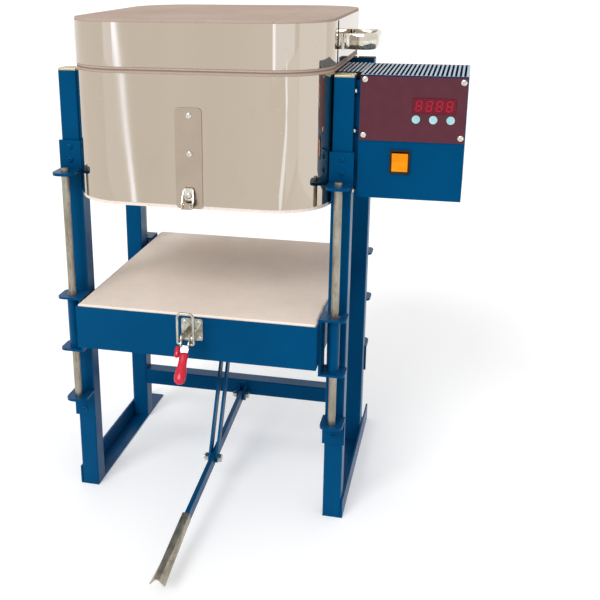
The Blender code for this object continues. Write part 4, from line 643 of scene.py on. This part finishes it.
DIGIT_COUNT = 4
FIRST_DIGIT_X = 339.0
DIGIT_PITCH = 15.0
DIGIT_WIDTH = 7.6
DIGIT_HALF_HEIGHT = 7.2
DIGIT_SLANT = 0.12
DIGIT_FACE_Y = -150.75
BAR_HALF_WIDTH = 0.85
BAR_THICKNESS = 0.25
LEVEL_BAR_LENGTH = DIGIT_WIDTH * 0.9
UPRIGHT_BAR_LENGTH = DIGIT_HALF_HEIGHT * 0.92
# Middle of each bar as shares of the digit's width and half height, and whether the bar is upright
DIGIT_BARS = ((0, 1, False), (0.5, 0.5, True), (0.5, -0.5, True), (0, -1, False), (-0.5, -0.5, True),
              (-0.5, 0.5, True), (0, 0, False))


def segment_bar(mesh, x, z, length, upright):
    """One bar of a digit, with pointed ends, facing the front."""
    half = length / 2
    wide = BAR_HALF_WIDTH
    outline = [(-half, 0), (-half + wide, wide), (half - wide, wide), (half, 0), (half - wide, -wide),
               (-half + wide, -wide)]
    rings = ([], [])
    for along, across in outline:
        dx, dz = (across, along) if upright else (along, across)
        lean = DIGIT_SLANT * (z + dz - DISPLAY_MIDDLE_LEVEL)
        for ring, y in zip(rings, (DIGIT_FACE_Y, DIGIT_FACE_Y + BAR_THICKNESS)):
            ring.append(mesh.verts.new((x + dx + lean, y, z + dz)))
    skin(mesh, rings)


digits = bmesh.new()
for index in range(DIGIT_COUNT):
    middle = FIRST_DIGIT_X + DIGIT_PITCH * index
    for across, rise, upright in DIGIT_BARS:
        length = UPRIGHT_BAR_LENGTH if upright else LEVEL_BAR_LENGTH
        level = DISPLAY_MIDDLE_LEVEL + rise * DIGIT_HALF_HEIGHT
        segment_bar(digits, middle + across * DIGIT_WIDTH, level, length, upright)
piece("display_digits", digits, "segment", "frame", smooth=False)

# Raised rings round the buttons

BUTTON_RING_RADIUS = 6.5
BUTTON_RING_WIRE = 0.4

rings = bmesh.new()
for middle in BUTTON_MIDDLES:
    circle = oval(BUTTON_RING_RADIUS, BUTTON_RING_RADIUS, 32)
    tube(rings, [(middle + x, PANEL_FACE_Y, BUTTON_LEVEL + z) for x, z in circle], BUTTON_RING_WIRE, sides=6,
         closed=True)
piece("button_rings", rings, "panel_maroon", "frame")

# Keeper that the latch hook catches: a folded clip round its screw, with two claws below it

CLIP = [(-226.4, 598.0), (-227.6, 600.4), (-228.8, 599.2), (-229.0, 594.0), (-229.0, 584.0),
        (-229.2, 578.4)]
CLIP_WIDTHS = (13.0, 14.0, 15.0, 16.5, 16.5, 15.0)
CLIP_THICKNESS = 1.3
CLAW = [(7.4, -229.4, 596.0), (8.6, -231.6, 589.0), (8.9, -234.6, 580.0), (8.6, -238.6, 573.2),
        (7.6, -242.4, 570.2), (6.6, -244.0, 572.0), (6.2, -243.6, 575.4)]
CLAW_WIDTHS = (3.4, 4.6, 5.4, 5.2, 4.6, 4.0, 3.4)
CLAW_THICKNESS = 1.7

keeper = bmesh.new()
ribbon(keeper, [(0, y, z) for y, z in CLIP], (0, -1, 0.3), CLIP_WIDTHS, CLIP_THICKNESS)
for _, side in SIDES:
    ribbon(keeper, [(side * x, y, z) for x, y, z in CLAW], (side, 0, 0.1), CLAW_WIDTHS, CLAW_THICKNESS)
piece("keeper_claws", keeper, "screw", "frame")

# Lid handles: a thick crowned strap, thin at its feet, in place of each CAD strap

STRAP_SEAT_X = 211.6
STRAP_REACH = 46.6
STRAP_HALF_SPAN = 47
STRAP_FOOT = 15
STRAP_BEND = 18
STRAP_FOOT_BEND = 9
STRAP_ARC_STEPS = 8
STRAP_HALF_THICKNESS = 1.0
STRAP_CROWN = 4.2
STRAP_HALF_HEIGHT = 12.2
STRAP_HEIGHT_CROWN = 1.0
STRAP_SWELL_START = 1.5
STRAP_SWELL_LENGTH = 16


def strap_path():
    """Plan of the strap from foot to foot, standing off X zero."""
    half, foot = STRAP_HALF_SPAN, STRAP_FOOT
    corners = [(0, -half - foot), (0, -half), (STRAP_REACH, -half), (STRAP_REACH, half), (0, half),
               (0, half + foot)]
    points = [Vector(corners[0])]
    for index, radius in enumerate((STRAP_FOOT_BEND, STRAP_BEND, STRAP_BEND, STRAP_FOOT_BEND)):
        before, corner, after = (Vector(corner) for corner in corners[index:index + 3])
        inward = (before - corner).normalized()
        onward = (after - corner).normalized()
        centre = corner + (inward + onward) * radius
        for step in range(STRAP_ARC_STEPS + 1):
            angle = QUARTER_TURN * step / STRAP_ARC_STEPS
            points.append(centre - onward * radius * math.cos(angle) - inward * radius * math.sin(angle))
    points.append(Vector(corners[-1]))
    return points


plan = strap_path()
for side_name, side in SIDES:
    strap = bmesh.new()
    rings = []
    for index, point in enumerate(plan):
        before = plan[max(index - 1, 0)]
        after = plan[min(index + 1, len(plan) - 1)]
        ahead = (after - before).normalized()
        out = Vector((ahead.y, -ahead.x))
        swell = min(1.0, max(0.0, (point.x - STRAP_SWELL_START) / STRAP_SWELL_LENGTH))
        swell = swell * swell * (3 - 2 * swell)
        half_thickness = STRAP_HALF_THICKNESS + STRAP_CROWN * swell
        half_height = STRAP_HALF_HEIGHT + STRAP_HEIGHT_CROWN * swell
        ring = []
        for across, rise in oval(half_thickness, half_height, 20, 1.0, 0.9):
            spot = point + out * across
            ring.append(strap.verts.new((side * (STRAP_SEAT_X + spot.x), side * spot.y, HANDLE_LEVEL + rise)))
        rings.append(ring)
    skin(strap, rings)
    made = piece(f"lid_handle_strap_{side_name}", strap, "polished_strap", "lid")
    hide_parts(f"lid_handle_{side_name}")

# Slats over the wiring duct, in line with the vent's slats

SLAT_COUNT = 6
FIRST_SLAT_X = 247.0
SLAT_PITCH = 6.7
SLAT_HALF_WIDTH = 1.6
SLAT_FRONT, SLAT_REAR = -119.2, 9.2
SLAT_BOTTOM, SLAT_TOP = 769.95, 771.0
SLAT_BEVEL = 0.3

slats = bmesh.new()
for index in range(SLAT_COUNT):
    middle = FIRST_SLAT_X - SLAT_PITCH * index
    block(slats, (middle - SLAT_HALF_WIDTH, SLAT_FRONT, SLAT_BOTTOM),
          (middle + SLAT_HALF_WIDTH, SLAT_REAR, SLAT_TOP), SLAT_BEVEL)
# The slats take the vent's look: painted sheen on their tops, painted shade on their sides
piece("duct_slats", slats, "vent_paint", "frame")

# Seam of the lid's band, a near-black strip as painted shade in its gap

seam = bmesh.new()
block(seam, (208.9, -119.2, 783.0), (211.0, -116.8, 847.0), 0.4)
piece("lid_band_seam_painted_shade", seam, "dark", "lid")

# Heating coils in the grooves of the ring, with tails through its right wall

COIL_RADIUS = 3.9
COIL_PITCH = 8.5
COIL_STEPS = 8
COIL_WIRE = 0.85
GROOVE_ARC_STEPS = 16
TAIL_XS = (149.0, 170.0, 212.0, 224.0)
TAIL_WIRE = 1.9
TAIL_SPREAD_SHARE = 0.27


def groove_outline():
    """The rounded rectangle that the coils follow, from the front right corner and back to it."""
    points = []
    for quarter, (side, end) in enumerate(((1, -1), (1, 1), (-1, 1), (-1, -1))):
        for step in range(GROOVE_ARC_STEPS + 1):
            angle = QUARTER_TURN * (quarter - 1 + step / GROOVE_ARC_STEPS)
            points.append((side * (ELEMENT_HALF_WIDTH - ELEMENT_CORNER) + ELEMENT_CORNER * math.cos(angle),
                           end * (ELEMENT_HALF_DEPTH - ELEMENT_CORNER) + ELEMENT_CORNER * math.sin(angle)))
    return points + points[:1]


def coil_path(level):
    """A helix that follows the groove at one level."""
    outline = groove_outline()
    lengths = [0.0]
    for first, second in zip(outline, outline[1:]):
        lengths.append(lengths[-1] + math.dist(first, second))
    steps = int(lengths[-1] / COIL_PITCH) * COIL_STEPS
    points = []
    leg = 0
    for step in range(steps):
        travel = lengths[-1] * step / steps
        while lengths[leg + 1] < travel:
            leg += 1
        share = (travel - lengths[leg]) / (lengths[leg + 1] - lengths[leg])
        first, second = Vector(outline[leg]), Vector(outline[leg + 1])
        centre = first.lerp(second, share)
        ahead = (second - first).normalized()
        angle = math.tau * step / COIL_STEPS
        reach = COIL_RADIUS * math.cos(angle)
        rise = COIL_RADIUS * math.sin(angle)
        points.append((centre.x + ahead.y * reach, centre.y - ahead.x * reach, level + rise))
    return points


coils = bmesh.new()
for level in ELEMENT_LEVELS:
    tube(coils, coil_path(level), COIL_WIRE, sides=5, closed=True)
for level in ELEMENT_LEVELS:
    tail_y = ELEMENT_TAIL_Y + (level - sum(ELEMENT_LEVELS) / 2) * TAIL_SPREAD_SHARE
    tube(coils, [(x, tail_y, level) for x in TAIL_XS], TAIL_WIRE)
heating = piece("heating_coils", coils, "element_wire", "frame")
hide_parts("heating_element")

# Bushes and bolts of the hearth's guides

BUSH_PROFILE = [(8.6, 0), (8.6, 0.9), (8.1, 1.3), (6.7, 1.3), (6.65, 0)]
GUIDE_BOLT_X = 204.0
GUIDE_BOLT_Y = 196
GUIDE_BOLT_LEVELS = (330, 366)

for corner_name, side, end in stand_corners():
    bushes = bmesh.new()
    for level, way in GUIDE_BUSH_SEATS:
        lathe(bushes, BUSH_PROFILE, (side * ROD_X, end * ROD_Y, level), (0, 0, way), sides=28)
    piece(f"guide_bushes_{corner_name}", bushes, "bronze", "hearth")
    bolts = bmesh.new()
    for level in GUIDE_BOLT_LEVELS:
        hex_head(bolts, (side * GUIDE_BOLT_X, end * GUIDE_BOLT_Y, level), (side, 0, 0), 4.4, 2.2)
    piece(f"guide_bolts_{corner_name}", bolts, "blue_screw", "hearth")


# Floor and backdrop, which are seen as white and keep the object's shadow

FLOOR_HALF = 40
FLOOR_GREY = 0.85
FLOOR_SEEN_GLOW = 0.3
WORLD_LIGHT = 0.72


def seen_rays(tree):
    """1 for camera, glossy and transmission rays, else 0."""
    path = tree.nodes.new("ShaderNodeLightPath")
    total = path.outputs["Is Camera Ray"]
    for key in ("Is Glossy Ray", "Is Transmission Ray"):
        larger = tree.nodes.new("ShaderNodeMath")
        larger.operation = "MAXIMUM"
        tree.links.new(total, larger.inputs[0])
        tree.links.new(path.outputs[key], larger.inputs[1])
        total = larger.outputs["Value"]
    return total


def floor_material():
    material = bpy.data.materials.new("floor")
    material.use_nodes = True
    tree = material.node_tree
    tree.nodes.clear()
    out = tree.nodes.new("ShaderNodeOutputMaterial")
    diffuse = tree.nodes.new("ShaderNodeBsdfDiffuse")
    diffuse.inputs["Color"].default_value = (FLOOR_GREY, FLOOR_GREY, FLOOR_GREY, 1)
    glow = tree.nodes.new("ShaderNodeEmission")
    scale = tree.nodes.new("ShaderNodeMath")
    scale.operation = "MULTIPLY"
    scale.inputs[1].default_value = FLOOR_SEEN_GLOW
    tree.links.new(seen_rays(tree), scale.inputs[0])
    tree.links.new(scale.outputs["Value"], glow.inputs["Strength"])
    both = tree.nodes.new("ShaderNodeAddShader")
    tree.links.new(diffuse.outputs["BSDF"], both.inputs[0])
    tree.links.new(glow.outputs["Emission"], both.inputs[1])
    tree.links.new(both.outputs["Shader"], out.inputs["Surface"])
    return material


floor_data = bpy.data.meshes.new("floor")
floor_data.from_pydata([(-FLOOR_HALF, -FLOOR_HALF, 0), (FLOOR_HALF, -FLOOR_HALF, 0),
                        (FLOOR_HALF, FLOOR_HALF, 0), (-FLOOR_HALF, FLOOR_HALF, 0)], [], [(0, 1, 2, 3)])
floor_data.materials.append(floor_material())
floor = bpy.data.objects.new("floor", floor_data)
bpy.context.scene.collection.objects.link(floor)

world = bpy.data.worlds.new("studio")
bpy.context.scene.world = world
world.use_nodes = True
backdrop = world.node_tree.nodes["Background"]
backdrop.inputs["Color"].default_value = (1, 1, 1, 1)
strength = world.node_tree.nodes.new("ShaderNodeMapRange")
strength.inputs["To Min"].default_value = WORLD_LIGHT
strength.inputs["To Max"].default_value = 1.0
world.node_tree.links.new(seen_rays(world.node_tree), strength.inputs["Value"])
world.node_tree.links.new(strength.outputs["Result"], backdrop.inputs["Strength"])

# Lamps

SUN_TOWARDS = Vector((0.35, 1.0, -0.85))
SUN_STRENGTH = 1.35
LAMP_COLOUR = (0.56, 0.7, 1.0)
STRIP_PLANE = -1.80
PANEL_PLANE = -1.83

sun_data = bpy.data.lights.new("key", "SUN")
sun_data.energy = SUN_STRENGTH
sun_data.angle = math.radians(24)
sun = bpy.data.objects.new("key", sun_data)
sun.rotation_euler = SUN_TOWARDS.to_track_quat("-Z", "Y").to_euler()
bpy.context.scene.collection.objects.link(sun)


def softbox(name, at, target, size, radiance, lean=0.0):
    """An upright, faintly cool area lamp that faces a point and leans in its own plane."""
    data = bpy.data.lights.new(name, "AREA")
    data.shape = "RECTANGLE"
    data.size, data.size_y = size
    data.color = LAMP_COLOUR
    data.energy = radiance * math.pi * size[0] * size[1]
    made = bpy.data.objects.new(name, data)
    made.location = at
    faced = (Vector(target) - Vector(at)).to_track_quat("-Z", "Y").to_matrix()
    made.rotation_euler = (faced @ Matrix.Rotation(lean, 3, "Z")).to_euler()
    bpy.context.scene.collection.objects.link(made)


def strip_lamps(name, points, width, radiance):
    """A narrow lamp that follows points, X and Z, in front of the kiln, as short area lamps in line."""
    for index, (start, end) in enumerate(zip(points, points[1:])):
        length = math.dist(start, end)
        lean = math.atan2(end[0] - start[0], start[1] - end[1])
        middle = ((start[0] + end[0]) / 2, STRIP_PLANE, (start[1] + end[1]) / 2)
        target = (middle[0], STRIP_PLANE + 1, middle[2])
        softbox(f"{name}_{index}", middle, target, (width, length), radiance, lean)


def panel_lamp(name, x, z, size, radiance):
    """A wide lamp in front of the kiln that faces straight back."""
    softbox(name, (x, PANEL_PLANE, z), (x, 0, z), size, radiance)


# The polished bands mirror these as upright highlights: the lid the upper ones, and the ring the lower ones
strip_lamps("left_strip_upper", [(-0.848, 0.76), (-0.834, 0.565)], 0.020, 2.2)
strip_lamps("left_strip_lower", [(-0.822, 0.56), (-0.810, 0.30), (-0.804, 0.08)], 0.016, 1.9)
strip_lamps("right_strip_upper", [(0.215, 0.76), (0.225, 0.565)], 0.16, 1.35)
strip_lamps("right_strip_lower", [(0.99, 0.56), (1.09, 0.39), (0.98, 0.28), (0.60, 0.09)], 0.13, 0.9)
panel_lamp("left_panel_upper", -1.26, 0.66, (0.80, 0.2), 0.36)
panel_lamp("left_panel_lower", -1.36, 0.31, (1.05, 0.48), 0.12)
panel_lamp("right_panel_upper", 1.05, 0.66, (1.50, 0.2), 0.42)
panel_lamp("right_panel_lower", 1.70, 0.31, (1.30, 0.48), 0.2)
softbox("right_side", (2.4, -0.3, 0.45), (0, -0.3, 0.45), (3.0, 1.0), 0.3)

# Camera

CAMERA_AT = Vector((0.342284, -1.460965, 0.941663))
YAW = math.radians(14.4116)
PITCH = math.radians(17.8357)
ROLL = math.radians(-0.3403)
LENS_LENGTH = 55.6965
LENS_SHIFT = (0.11055, -0.07612)

ahead = Vector((-math.sin(YAW) * math.cos(PITCH), math.cos(YAW) * math.cos(PITCH), -math.sin(PITCH)))
level_right = Vector((math.cos(YAW), math.sin(YAW), 0))
level_up = level_right.cross(ahead)
right = math.cos(ROLL) * level_right + math.sin(ROLL) * level_up
up = -math.sin(ROLL) * level_right + math.cos(ROLL) * level_up
lens = bpy.data.cameras.new("camera")
lens.sensor_width = 36
lens.lens = LENS_LENGTH
lens.shift_x, lens.shift_y = LENS_SHIFT
camera = bpy.data.objects.new("camera", lens)
camera.matrix_world = Matrix.Translation(CAMERA_AT) @ Matrix((right, up, -ahead)).transposed().to_4x4()
bpy.context.scene.collection.objects.link(camera)
bpy.context.scene.camera = camera
bpy.context.scene.view_settings.view_transform = "Standard"
